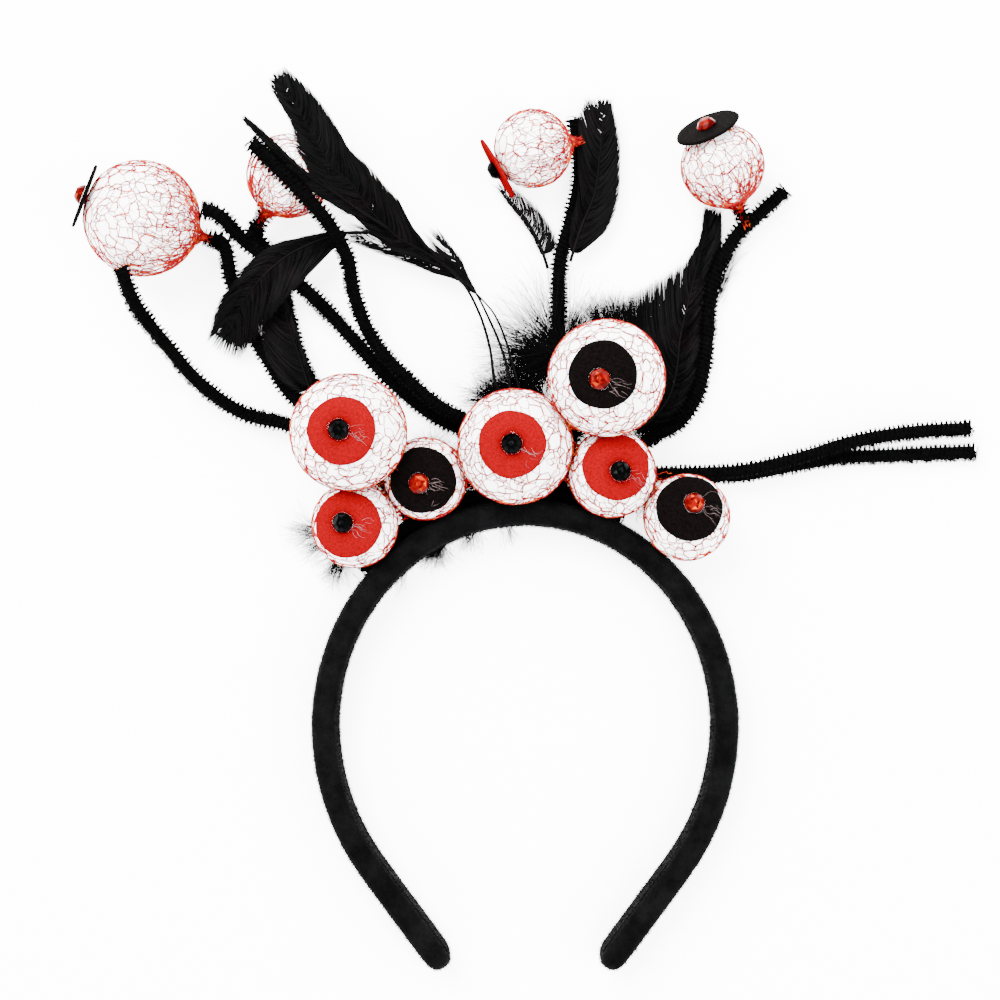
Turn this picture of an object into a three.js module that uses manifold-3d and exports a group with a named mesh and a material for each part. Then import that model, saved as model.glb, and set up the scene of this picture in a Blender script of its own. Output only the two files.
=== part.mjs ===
// A costume headband: a padded alice band that carries eleven foam eyeballs, chenille stems and black feathers.
// Sizes are in millimetres. The headband lies on its back edge: +Z is its front, +Y points out of the crown
// and +X is to the right of someone who looks at the front. The origin is in the middle of the crown, on the
// flat strip of the back edge.
import * as THREE from "three";
import { mergeVertices } from "three/addons/utils/BufferGeometryUtils.js";
import Module from "manifold-3d";

const wasm = await Module();
wasm.setup();

// The glue lines between neighbours, and the thinner one under a round ball
const GAP = 0.3;
const BALL_GLUE = 0.15;

// The padded band
const BAND_WIDTH = 142; // between the mid-lines of the two sides, at the widest
const CROWN_RISE = 75.8; // from the widest place up to the crown
const SIDE_RADIUS = 85; // how the sides turn in below the widest place
const SIDE_BEND = 36.6; // degrees of that turn
const LEG_LENGTH = 43.4; // the nearly straight run down to each tip
const BAND_DEPTH = 18; // front to back
const BAND_THICKNESS = 9.4; // from the head side to the outer side
const BACK_FLAT_IN = 3.6; // the flat strip of the back edge, on the head side of the mid-line
const BACK_FLAT_OUT = 2.4; // and on the outer side
const TIP_ROUND = 6; // length of the rounded tips

// The foam balls on the crown
const BIG_EYE = 40; // also the one on the left stem
const SMALL_EYE = 30.4;
const TIGHT_EYE = 28.8; // the one pressed in beside the middle eye
const LOW_EYE = 30;

// The foam balls on the stems, and how far each lies from the middle of the crown
const STEM_EYE_SMALL = 29;
const STEM_EYE_MIDDLE = 27.2;
const LEFT_REACH = 168.9;
const INNER_REACH = 144.8;
const MIDDLE_REACH = 128.2;
const RIGHT_REACH = 140.4;

// The irises and their stones
const IRIS_DIAMETER = 23;
const IRIS_THICKNESS = 1;
const GEM_DIAMETER = 7;
const GEM_HEIGHT = 2.6;
const GEM_TABLE = 3.8; // across the flat top of the stone

// The gathered tail of net behind each stem eye
const TIE_LENGTH = 5;
const TIE_BASE_RADIUS = 4.4;
const TIE_WAIST_RADIUS = 2.3;
const TIE_END_RADIUS = 2.8;

// The chenille stems
const STEM_DIAMETER = 6;
const SIDE_REACH = 108; // how far the pair on the right ends from the lowest ball on that side

// The feathers
const QUILL_RADIUS = 0.8;
const FEATHER_THICKNESS = 1.4;
const VANE_EDGE = 0.6; // thickness of a lock at its edge
const NOTCH = 0.66; // width left between two locks
const LOCK_SWEEP = 0.45; // how far a lock leans towards the feather's tip, in shares of its width

// Where soft pieces lie above the table
const OFF_TABLE = 0.2; // under a stem that lies on the table
const LAY = STEM_DIAMETER / 2 + OFF_TABLE; // the middle of a stem on the table
const STACK = LAY + STEM_DIAMETER + GAP; // the middle of a stem on another stem
const ON_STEM = LAY + (STEM_DIAMETER + FEATHER_THICKNESS) / 2 + GAP; // a feather on one stem
const ON_STACK = STACK + (STEM_DIAMETER + FEATHER_THICKNESS) / 2 + GAP; // a feather on two

const DEG = Math.PI / 180;
const UP = new THREE.Vector3(0, 0, 1);

const headpiece = new THREE.Group();

function finish(color, roughness, metalness = 0) {
  return new THREE.MeshStandardMaterial({ color, roughness, metalness });
}

const velvet = finish(0x0b0b0c, 0.95);
const foam = finish(0xf6f2f0, 0.85);
const felts = { red: finish(0xe0151b, 0.95), black: finish(0x15110f, 0.95) };
const stones = { red: finish(0xd5121a, 0.1), black: finish(0x09090a, 0.1) };
const net = finish(0xd8322c, 0.6);
const chenille = finish(0x0a0a0a, 0.95);
const plume = finish(0x0d0d10, 0.7);

function addPiece(name, geometry, material) {
  const mesh = new THREE.Mesh(geometry, material);
  mesh.name = name;
  headpiece.add(mesh);
  return mesh;
}

// Small helpers

function point(x, y, z) {
  return new THREE.Vector3(x, y, z);
}

// A point at a distance from another in plan, in a heading in degrees from +X
function polar(from, distance, heading, z = from.z) {
  return point(from.x + distance * Math.cos(heading * DEG), from.y + distance * Math.sin(heading * DEG), z);
}

// A direction that leans some degrees away from straight up, towards a heading
function leaning(lean, heading) {
  return polar(point(0, 0, 0), Math.sin(lean * DEG), heading, Math.cos(lean * DEG));
}

// Halves the span between a near value that is too close and a far one that is clear
function firstClear(near, far, isClear) {
  for (let i = 0; i < 40; i++) {
    const middle = (near + far) / 2;
    if (isClear(middle)) far = middle;
    else near = middle;
  }
  return far;
}

function signedVolume(position, index) {
  const corners = [point(), point(), point()];
  let six = 0;
  for (let i = 0; i < index.count; i += 3) {
    corners.forEach((corner, j) => corner.fromBufferAttribute(position, index.getX(i + j)));
    six += corners[0].dot(corners[1].cross(corners[2]));
  }
  return six;
}

// A closed mesh with shared corners whose faces point out
function closed(geometry) {
  const bare = new THREE.BufferGeometry();
  bare.setAttribute("position", geometry.getAttribute("position"));
  bare.setIndex(geometry.getIndex());
  const merged = mergeVertices(bare, 1e-4);
  if (signedVolume(merged.getAttribute("position"), merged.index) < 0) {
    merged.index.array.reverse();
  }
  merged.computeVertexNormals();
  return merged;
}

// Joins rings of the same number of points into a closed skin with a flat cap at each end
function skin(rings) {
  const sides = rings[0].length;
  const index = [];
  for (let i = 0; i + 1 < rings.length; i++) {
    for (let j = 0; j < sides; j++) {
      const a = i * sides + j;
      const b = i * sides + ((j + 1) % sides);
      index.push(a, b, a + sides, b, b + sides, a + sides);
    }
  }
  const last = (rings.length - 1) * sides;
  for (let j = 1; j + 1 < sides; j++) {
    index.push(0, j + 1, j, last, last + j, last + j + 1);
  }
  const geometry = new THREE.BufferGeometry().setFromPoints(rings.flat());
  geometry.setIndex(index);
  return closed(geometry);
}

// Turns a shape whose axis is +Y so that it stands along a direction, and sets it at a place
function standOn(geometry, place, direction) {
  const turned = geometry.clone();
  turned.applyQuaternion(new THREE.Quaternion().setFromUnitVectors(point(0, 1, 0), direction));
  turned.translate(place.x, place.y, place.z);
  return turned;
}

function toManifold(geometry) {
  const merged = closed(geometry);
  return new wasm.Manifold(
    new wasm.Mesh({
      numProp: 3,
      vertProperties: new Float32Array(merged.getAttribute("position").array),
      triVerts: new Uint32Array(merged.index.array),
    }),
  );
}

// Fuses closed shapes that overlap into one body
function fused(geometries) {
  const body = geometries.map(toManifold).reduce((whole, part) => whole.add(part));
  const mesh = body.getMesh();
  const geometry = new THREE.BufferGeometry();
  geometry.setAttribute("position", new THREE.BufferAttribute(mesh.vertProperties, 3));
  geometry.setIndex(new THREE.BufferAttribute(mesh.triVerts, 1));
  geometry.computeVertexNormals();
  return geometry;
}

// The band
// Its section is set down as shares: out from the mid-line in half thicknesses, up from the table in depths.

const HALF_THICKNESS = BAND_THICKNESS / 2;
const BAND_SECTION = [
  { out: -BACK_FLAT_IN / HALF_THICKNESS, up: 0 },
  { out: BACK_FLAT_OUT / HALF_THICKNESS, up: 0 },
  { out: 0.86, up: 0.09 },
  { out: 1, up: 0.27 },
  { out: 1, up: 0.73 },
  { out: 0.86, up: 0.91 },
  { out: BACK_FLAT_OUT / HALF_THICKNESS, up: 1 },
  { out: -0.55, up: 1 },
  { out: -0.9, up: 0.93 },
  { out: -1, up: 0.78 },
  { out: -1, up: 0.2 },
  { out: -0.94, up: 0.06 },
];

// The mid-line at a station: 0 is the crown, 1 the widest place, 2 the end of the side's turn and 3 the tip.
// Negative stations are on the left.
function bandAt(station) {
  const side = station < 0 ? -1 : 1;
  const s = Math.abs(station);
  const half = BAND_WIDTH / 2;
  if (s <= 1) {
    const turn = s * 90 * DEG;
    return {
      middle: point(side * half * Math.sin(turn), CROWN_RISE * (Math.cos(turn) - 1), 0),
      outward: point((side * Math.sin(turn)) / half, Math.cos(turn) / CROWN_RISE, 0).normalize(),
    };
  }
  const turn = SIDE_BEND * DEG * Math.min(s - 1, 1);
  const run = LEG_LENGTH * Math.max(s - 2, 0);
  const x = half + SIDE_RADIUS * (Math.cos(turn) - 1) - run * Math.sin(turn);
  const y = -CROWN_RISE - SIDE_RADIUS * Math.sin(turn) - run * Math.cos(turn);
  return { middle: point(side * x, y, 0), outward: point(side * Math.cos(turn), -Math.sin(turn), 0) };
}

function bandRing(station, scale = 1) {
  const { middle, outward } = bandAt(station);
  return BAND_SECTION.map(({ out, up }) => {
    const ring = middle.clone().addScaledVector(outward, out * HALF_THICKNESS * scale);
    return ring.addScaledVector(UP, BAND_DEPTH * (0.5 + (up - 0.5) * scale));
  });
}

// The stations of one half, from beside the crown to the start of the rounded tip
function halfStations() {
  const crown = Array.from({ length: 12 }, (_, i) => (i + 0.5) / 12);
  const side = Array.from({ length: 6 }, (_, i) => 1 + i / 6);
  const leg = [2, 2.3, 2.6, 3 - TIP_ROUND / LEG_LENGTH];
  return [...crown, ...side, ...leg];
}

function bandGeometry() {
  const half = halfStations().map((station) => ({ station, scale: 1 }));
  for (const reach of [0.4, 0.7, 0.9, 1]) {
    const station = 3 - (TIP_ROUND / LEG_LENGTH) * (1 - reach);
    half.push({ station, scale: Math.sqrt(1 - (0.94 * reach) ** 2) });
  }
  const left = half.map(({ station, scale }) => bandRing(-station, scale)).reverse();
  const right = half.map(({ station, scale }) => bandRing(station, scale));
  return skin([...left, ...right]);
}

addPiece("headband", bandGeometry(), velvet);

// How far a point of the section's plane is from the padding
function sectionDistance(out, up) {
  const corners = BAND_SECTION.map((c) => new THREE.Vector2(c.out * HALF_THICKNESS, c.up * BAND_DEPTH));
  const spot = new THREE.Vector2(out, up);
  const distances = corners.map((corner, i) => {
    const along = corners[(i + 1) % corners.length].clone().sub(corner);
    const share = THREE.MathUtils.clamp(spot.clone().sub(corner).dot(along) / along.lengthSq(), 0, 1);
    return corner.clone().addScaledVector(along, share).distanceTo(spot);
  });
  return Math.min(...distances);
}

// The eyes on the crown
// A ball is glued to the band at a station, along a line that rises from the section's middle.

function seatOnBand(station, rise, radius) {
  const { middle, outward } = bandAt(station);
  const clear = (d) =>
    sectionDistance(d * Math.cos(rise * DEG), BAND_DEPTH / 2 + d * Math.sin(rise * DEG)) >= radius + BALL_GLUE;
  const distance = firstClear(HALF_THICKNESS, BAND_DEPTH + BAND_THICKNESS + 2 * radius, clear);
  const centre = middle.clone().addScaledVector(outward, distance * Math.cos(rise * DEG));
  centre.z = BAND_DEPTH / 2 + distance * Math.sin(rise * DEG);
  return { centre, radius, station };
}

// The same, slid along the band away from a neighbour until the two balls just touch
function seatBeside(neighbour, way, rise, radius) {
  const touching = neighbour.radius + radius + BALL_GLUE;
  const clear = (slide) =>
    seatOnBand(neighbour.station + way * slide, rise, radius).centre.distanceTo(neighbour.centre) >= touching;
  const slide = firstClear(0, 1, clear);
  return seatOnBand(neighbour.station + way * slide, rise, radius);
}

// A ball in the hollow between two others, outside them, raised by an angle above the table
function nestle(first, second, rise, radius) {
  const across = second.centre.clone().sub(first.centre);
  const span = across.length();
  across.normalize();
  const toFirst = first.radius + radius + BALL_GLUE;
  const toSecond = second.radius + radius + BALL_GLUE;
  const share = (toFirst ** 2 - toSecond ** 2 + span ** 2) / (2 * span);
  const outward = UP.clone().cross(across).normalize();
  if (outward.dot(first.centre) < 0) outward.negate();
  const upward = across.clone().cross(outward);
  if (upward.z < 0) upward.negate();
  const reach = Math.sqrt(toFirst ** 2 - share ** 2);
  const centre = first.centre.clone().addScaledVector(across, share);
  centre.addScaledVector(outward, reach * Math.cos(rise * DEG));
  centre.addScaledVector(upward, reach * Math.sin(rise * DEG));
  return { centre, radius };
}

const middle = seatOnBand(-0.024, 33, BIG_EYE / 2);
const nearLeft = seatBeside(middle, -1, 18, TIGHT_EYE / 2);
const lowLeft = seatBeside(nearLeft, -1, 23, LOW_EYE / 2);
const highLeft = nestle(lowLeft, nearLeft, 30, BIG_EYE / 2);
const nearRight = seatBeside(middle, 1, 31, SMALL_EYE / 2);
const lowRight = seatBeside(nearRight, 1, 27, LOW_EYE / 2);
const highRight = nestle(middle, nearRight, 22, BIG_EYE / 2);

// The eyes on the stems lie on the table, at a distance and heading from the crown.

function layOnTable(distance, heading, diameter) {
  return { centre: polar(point(0, 0, 0), distance, heading, diameter / 2), radius: diameter / 2 };
}

const stalkLeft = layOnTable(LEFT_REACH, 142.6, BIG_EYE);
const stalkInner = layOnTable(INNER_REACH, 125.2, STEM_EYE_SMALL);
const stalkMiddle = layOnTable(MIDDLE_REACH, 88.8, STEM_EYE_MIDDLE);
const stalkRight = layOnTable(RIGHT_REACH, 60.3, STEM_EYE_SMALL);

// An iris dishes with the ball by a share of the ball's own curve, or is flat at 0.
const ON_CROWN = 0.85;
const FLAT = 0;
const EYES = [
  { name: "high_left", eye: highLeft, lean: 3, toward: 185, dish: ON_CROWN, iris: "red", gem: [-0.5, 0.3] },
  { name: "low_left", eye: lowLeft, lean: 7, toward: 175, dish: ON_CROWN, iris: "red", gem: [-1, 0.7] },
  { name: "near_left", eye: nearLeft, lean: 4, toward: -126, dish: ON_CROWN, iris: "black", gem: [-1, -0.9] },
  { name: "middle", eye: middle, lean: 4, toward: 165, dish: ON_CROWN, iris: "red", gem: [0.1, 0] },
  { name: "high_right", eye: highRight, lean: 7, toward: 179, dish: ON_CROWN, iris: "black", gem: [-0.8, -1.7] },
  { name: "near_right", eye: nearRight, lean: 10, toward: 75, dish: ON_CROWN, iris: "red", gem: [1.1, -2.3] },
  { name: "low_right", eye: lowRight, lean: 15, toward: 92, dish: ON_CROWN, iris: "black", gem: [1.3, 0.8] },
  { name: "stalk_left", eye: stalkLeft, lean: 77, toward: 159, dish: FLAT, iris: "black", gem: [0, 0] },
  { name: "stalk_inner", eye: stalkInner, lean: 100, toward: 35, dish: FLAT, iris: "red", gem: [0, 0] },
  { name: "stalk_middle", eye: stalkMiddle, lean: 90, toward: -150, dish: FLAT, iris: "red", gem: [0, 0] },
  { name: "stalk_right", eye: stalkRight, lean: 62, toward: 117, dish: FLAT, iris: "black", gem: [0, 0] },
];

function ballGeometry(eye) {
  const ball = new THREE.SphereGeometry(eye.radius, 16, 10);
  ball.rotateX(90 * DEG);
  ball.translate(...eye.centre);
  return closed(ball);
}

// A felt disc whose middle lies at the origin with +Y outward
function irisGeometry(dish, ballRadius) {
  const radius = IRIS_DIAMETER / 2;
  const drop = (r) => (-dish * r * r) / (2 * ballRadius);
  const under = [0, 0.55, 1].map((share) => new THREE.Vector2(share * radius, drop(share * radius)));
  const top = under.map(({ x, y }) => new THREE.Vector2(x, y + IRIS_THICKNESS)).reverse();
  return closed(new THREE.LatheGeometry([...under, ...top], 16));
}

// A round stone with a flat table and eight facets around it
function gemGeometry() {
  const girdle = GEM_DIAMETER / 2;
  const profile = [
    [0, 0],
    [girdle, 0],
    [girdle, GEM_HEIGHT * 0.2],
    [GEM_TABLE / 2, GEM_HEIGHT],
    [0, GEM_HEIGHT],
  ].map(([r, y]) => new THREE.Vector2(r, y));
  return closed(new THREE.LatheGeometry(profile, 8));
}

for (const { name, eye, lean, toward, dish, iris, gem } of EYES) {
  const look = leaning(lean, toward);
  const felt = eye.centre.clone().addScaledVector(look, eye.radius + GAP);
  const stone = felt.clone().addScaledVector(look, IRIS_THICKNESS + GAP);
  stone.add(point(gem[0], gem[1], 0).projectOnPlane(look));
  addPiece(`ball_${name}`, ballGeometry(eye), foam);
  addPiece(`iris_${name}`, standOn(irisGeometry(dish, eye.radius), felt, look), felts[iris]);
  addPiece(`gem_${name}`, standOn(gemGeometry(), stone, look), stones[iris === "red" ? "black" : "red"]);
}

// The gathered net behind each stem eye: a short tail that narrows where it is tied
// It leaves the ball in a heading and dips some degrees towards the stem.

const TIES = [
  { name: "left", eye: stalkLeft, heading: -15, dip: 20 },
  { name: "inner", eye: stalkInner, heading: -124, dip: 14 },
  { name: "middle", eye: stalkMiddle, heading: 12, dip: 14 },
  { name: "right", eye: stalkRight, heading: -66, dip: 12 },
];

function tieDirection({ heading, dip }) {
  return leaning(90 + dip, heading);
}

function tieGeometry() {
  const profile = [
    [0, 0],
    [TIE_BASE_RADIUS, 0],
    [TIE_WAIST_RADIUS, TIE_LENGTH * 0.55],
    [TIE_END_RADIUS, TIE_LENGTH],
    [0, TIE_LENGTH],
  ].map(([r, y]) => new THREE.Vector2(r, y));
  return closed(new THREE.LatheGeometry(profile, 10));
}

for (const tie of TIES) {
  const start = tie.eye.centre.clone().addScaledVector(tieDirection(tie), tie.eye.radius + GAP);
  addPiece(`net_tie_${tie.name}`, standOn(tieGeometry(), start, tieDirection(tie)), net);
}

// Where stems and quills begin and end

// A distance past the end of a tie, in line with it
function pastTie(name, distance) {
  const tie = TIES.find((one) => one.name === name);
  const reach = tie.eye.radius + GAP + TIE_LENGTH + distance;
  return tie.eye.centre.clone().addScaledVector(tieDirection(tie), reach);
}

// Against the underside of a ball, at a height above the table or higher where the ball is, no nearer to the
// middle of the ball than a share of its radius
function underBall(eye, heading, height, thickness, nearest = 0.5) {
  const touching = eye.radius + thickness / 2 + BALL_GLUE;
  const below = eye.centre.z - height;
  const distance = Math.max(nearest * eye.radius, Math.sqrt(Math.max(0, touching ** 2 - below ** 2)));
  const z = Math.max(height, eye.centre.z - Math.sqrt(Math.max(0, touching ** 2 - distance ** 2)));
  return polar(eye.centre, distance, heading, z);
}

// The height at which something of a thickness passes over a ball, at a distance from the ball's middle
function heightOver(eye, distance, thickness) {
  const touching = eye.radius + thickness / 2 + GAP;
  return eye.centre.z + Math.sqrt(Math.max(0, touching ** 2 - distance ** 2));
}

// Against the outer side of the band
function onBand(station) {
  const { middle: at, outward } = bandAt(station);
  return at.clone().addScaledVector(outward, HALF_THICKNESS + 2 * GAP).setZ(LAY);
}

// A curve from a root to a tip. Each bend is given by its share of the way, how far it stands aside to the left
// in shares of the whole way, and its height in shares of the rise from the table to the crest. A neck is a last
// point that turns the end towards the tip.
function route(root, tip, crest, bends, neck = []) {
  const way = tip.clone().sub(root).setZ(0);
  const left = point(-way.y, way.x, 0);
  const between = bends.map(([along, aside, rise]) => {
    const bend = root.clone().addScaledVector(way, along).addScaledVector(left, aside);
    return bend.setZ(LAY + rise * (crest - LAY));
  });
  return new THREE.CatmullRomCurve3([root, ...between, ...neck, tip]);
}

// The chenille stems

const STEM_SIDES = 8;
const STEM_STEP = 8.5; // length of one straight piece of a stem

function stemGeometry(path) {
  const section = new THREE.Shape(
    Array.from({ length: STEM_SIDES }, (_, i) => {
      const angle = ((i + 0.5) / STEM_SIDES) * 360 * DEG;
      return new THREE.Vector2(Math.cos(angle), Math.sin(angle)).multiplyScalar(STEM_DIAMETER / 2);
    }),
  );
  const steps = Math.round(path.getLength() / STEM_STEP);
  return closed(new THREE.ExtrudeGeometry(section, { steps, extrudePath: path }));
}

const betweenLeftEyes = (nearLeft.station + lowLeft.station) / 2;
const betweenRightEyes = (middle.station + nearRight.station) / 2;
const overLeftEye = 0.97 * stalkLeft.radius;

// Each row of bends is share of the way, share aside, share of the rise.
const STEMS = {
  // springs from behind the far left eye and ends in the air over the left stem eye
  left_free: {
    root: underBall(highLeft, 208, LAY, STEM_DIAMETER),
    tip: polar(stalkLeft.centre, overLeftEye, -105, heightOver(stalkLeft, overLeftEye, STEM_DIAMETER)),
    crest: heightOver(stalkLeft, overLeftEye, STEM_DIAMETER),
    bends: [
      [0.17, 0.035, 0.13],
      [0.34, 0.12, 0.07],
      [0.53, 0.14, 0.26],
      [0.72, 0.11, 0.5],
      [0.88, 0.07, 0.77],
    ],
  },
  // the long one from the middle eye to the left stem eye
  left_long: {
    root: underBall(middle, 162, LAY, STEM_DIAMETER),
    tip: polar(stalkLeft.centre, stalkLeft.radius + 3 * GAP, 8),
    neck: [polar(stalkLeft.centre, stalkLeft.radius + STEM_DIAMETER, 4)],
    crest: STACK,
    bends: [
      [0.15, 0.04, 0],
      [0.3, 0.04, 0],
      [0.44, 0.02, 0],
      [0.56, 0, 0.13],
      [0.66, -0.01, 0.85],
      [0.77, -0.01, 1.32],
      [0.87, -0.01, 1.6],
    ],
  },
  // lies on the long one, then rises over the inner stem eye
  inner_free: {
    root: underBall(middle, 150, STACK, STEM_DIAMETER),
    tip: polar(stalkInner.centre, stalkInner.radius, 141, heightOver(stalkInner, 0, STEM_DIAMETER)),
    crest: heightOver(stalkInner, 0.2 * stalkInner.radius, STEM_DIAMETER),
    bends: [
      [0.08, 0.04, 0.23],
      [0.22, 0.07, 0.23],
      [0.37, 0.075, 0.25],
      [0.5, 0.035, 0.38],
      [0.58, -0.01, 0.58],
      [0.68, -0.03, 0.82],
      [0.79, -0.025, 1],
      [0.92, -0.01, 1],
    ],
  },
  left_short: {
    root: underBall(highLeft, 150, LAY, STEM_DIAMETER),
    tip: pastTie("left", GAP),
    neck: [pastTie("left", 0.7 * STEM_DIAMETER)],
    crest: STACK,
    bends: [
      [0.2, 0.085, 0.06],
      [0.38, 0.09, 0.01],
      [0.58, 0.08, 0.04],
      [0.8, 0.03, 0.4],
    ],
  },
  inner: {
    root: onBand(betweenLeftEyes),
    tip: pastTie("inner", GAP),
    neck: [pastTie("inner", 0.7 * STEM_DIAMETER)],
    crest: STACK,
    bends: [
      [0.07, -0.01, 0],
      [0.17, 0.01, 0],
      [0.33, 0.05, 0],
      [0.48, 0.07, 0],
      [0.61, 0.07, 0],
      [0.75, 0.04, 0],
      [0.87, 0.005, 0.04],
    ],
  },
  middle: {
    root: onBand(betweenRightEyes),
    tip: polar(stalkMiddle.centre, 1.48 * stalkMiddle.radius, 41, LAY),
    crest: STACK,
    bends: [
      [0.06, -0.01, 0],
      [0.16, -0.03, 0],
      [0.26, -0.02, 0],
      [0.39, 0.01, 0],
      [0.52, 0.02, 0],
      [0.63, 0.02, 0],
      [0.72, 0, 0],
      [0.84, -0.02, 0],
    ],
  },
  right: {
    root: underBall(nearRight, 40, LAY, STEM_DIAMETER),
    tip: polar(stalkRight.centre, 1.7 * stalkRight.radius, -16.5, LAY + STEM_DIAMETER / 3),
    crest: STACK,
    bends: [
      [0.1, -0.03, 0],
      [0.18, -0.08, 0],
      [0.29, -0.09, 0],
      [0.39, -0.06, 0],
      [0.48, -0.02, 0],
      [0.58, 0.03, 0],
      [0.68, 0.06, 0.1],
      [0.8, 0.06, 0.4],
      [0.9, 0.03, 0.42],
    ],
  },
  side_upper: {
    root: underBall(nearRight, 0, STACK, STEM_DIAMETER),
    tip: polar(lowRight.centre, SIDE_REACH, 17, LAY + STEM_DIAMETER / 2),
    crest: STACK,
    bends: [
      [0.11, -0.015, 1],
      [0.27, -0.03, 1],
      [0.46, -0.015, 1],
      [0.62, 0.01, 0.9],
      [0.81, 0.015, 0.6],
    ],
  },
  side_lower: {
    root: underBall(lowRight, 80, LAY, STEM_DIAMETER),
    tip: polar(lowRight.centre, SIDE_REACH, 12.4, LAY),
    crest: STACK,
    bends: [
      [0.06, 0.04, 0],
      [0.19, 0.03, 0],
      [0.4, 0.04, 0],
      [0.54, 0.045, 0],
      [0.68, 0.03, 0],
      [0.85, 0.015, 0],
    ],
  },
};

const stemPaths = {};
for (const [name, { root, tip, crest, bends, neck }] of Object.entries(STEMS)) {
  stemPaths[name] = route(root, tip, crest, bends, neck);
  addPiece(`stem_${name}`, stemGeometry(stemPaths[name]), chenille);
}

// Beside a stem at a share of its length: a distance to the left, at a height
function besideStem(name, share, left, z) {
  const at = stemPaths[name].getPointAt(share);
  const ahead = stemPaths[name].getTangentAt(share);
  return at.add(point(-ahead.y, ahead.x, 0).setLength(left)).setZ(z);
}

// The feathers
// A feather is one body: a bare quill that runs into a vane, whose edges are cut into locks that lean forward.

// Reads a short table of [share, width] rows
function widthAt(table, share) {
  const next = Math.max(
    1,
    table.findIndex(([at]) => at >= share),
  );
  const [from, wide] = table[next - 1];
  const [to, wideNext] = table[next];
  return THREE.MathUtils.lerp(wide, wideNext, THREE.MathUtils.clamp((share - from) / (to - from), 0, 1));
}

function featherRing(path, share, left, right, sweep) {
  const at = path.getPointAt(share);
  const ahead = path.getTangentAt(share);
  const aside = point(-ahead.y, ahead.x, 0).normalize();
  const above = ahead.clone().cross(aside).normalize().negate();
  const spread = (width, half) => {
    const edge = at.clone().addScaledVector(aside, width).addScaledVector(ahead, sweep * Math.abs(width));
    return edge.addScaledVector(above, half);
  };
  const edge = VANE_EDGE / 2;
  const ridge = FEATHER_THICKNESS / 2;
  return [
    spread(left, edge),
    spread(0, ridge),
    spread(-right, edge),
    spread(-right, -edge),
    spread(0, -ridge),
    spread(left, -edge),
  ];
}

function featherGeometry({ path, bare, locks, left, right }) {
  const rings = [0, 0.5, 1].map((s) => featherRing(path, s * bare * 0.95, QUILL_RADIUS, QUILL_RADIUS, 0));
  for (let i = 0; i < locks; i++) {
    for (const [part, keep, sweep] of [
      [0, NOTCH, 0],
      [0.5, 1, LOCK_SWEEP],
    ]) {
      const vane = (i + part) / locks;
      const share = bare + (1 - bare) * vane;
      const wide = (table) => Math.max(QUILL_RADIUS, keep * widthAt(table, vane));
      rings.push(featherRing(path, share, wide(left), wide(right), sweep));
    }
  }
  rings.push(featherRing(path, 1, QUILL_RADIUS / 2, QUILL_RADIUS / 2, 0));
  return skin(rings);
}

const overInnerEye = heightOver(stalkInner, 0.55 * stalkInner.radius, FEATHER_THICKNESS);

const tallPath = route(
  underBall(middle, 104, 0.45 * overInnerEye, FEATHER_THICKNESS),
  polar(stalkInner.centre, 2.19 * stalkInner.radius, 95, overInnerEye),
  overInnerEye,
  [
    [0.05, -0.01, 0.4],
    [0.13, -0.05, 0.36],
    [0.22, -0.08, 0.36],
    [0.32, -0.09, 0.4],
    [0.42, -0.06, 0.48],
    [0.5, -0.02, 0.6],
    [0.6, 0, 0.8],
    [0.67, 0, 0.92],
    [0.74, 0.015, 0.97],
    [0.81, 0.01, 1],
    [0.93, 0, 1],
  ],
);

// On top of a place on the tall feather
const onTall = tallPath.getPointAt(0.54);
onTall.z += FEATHER_THICKNESS + GAP;

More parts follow.
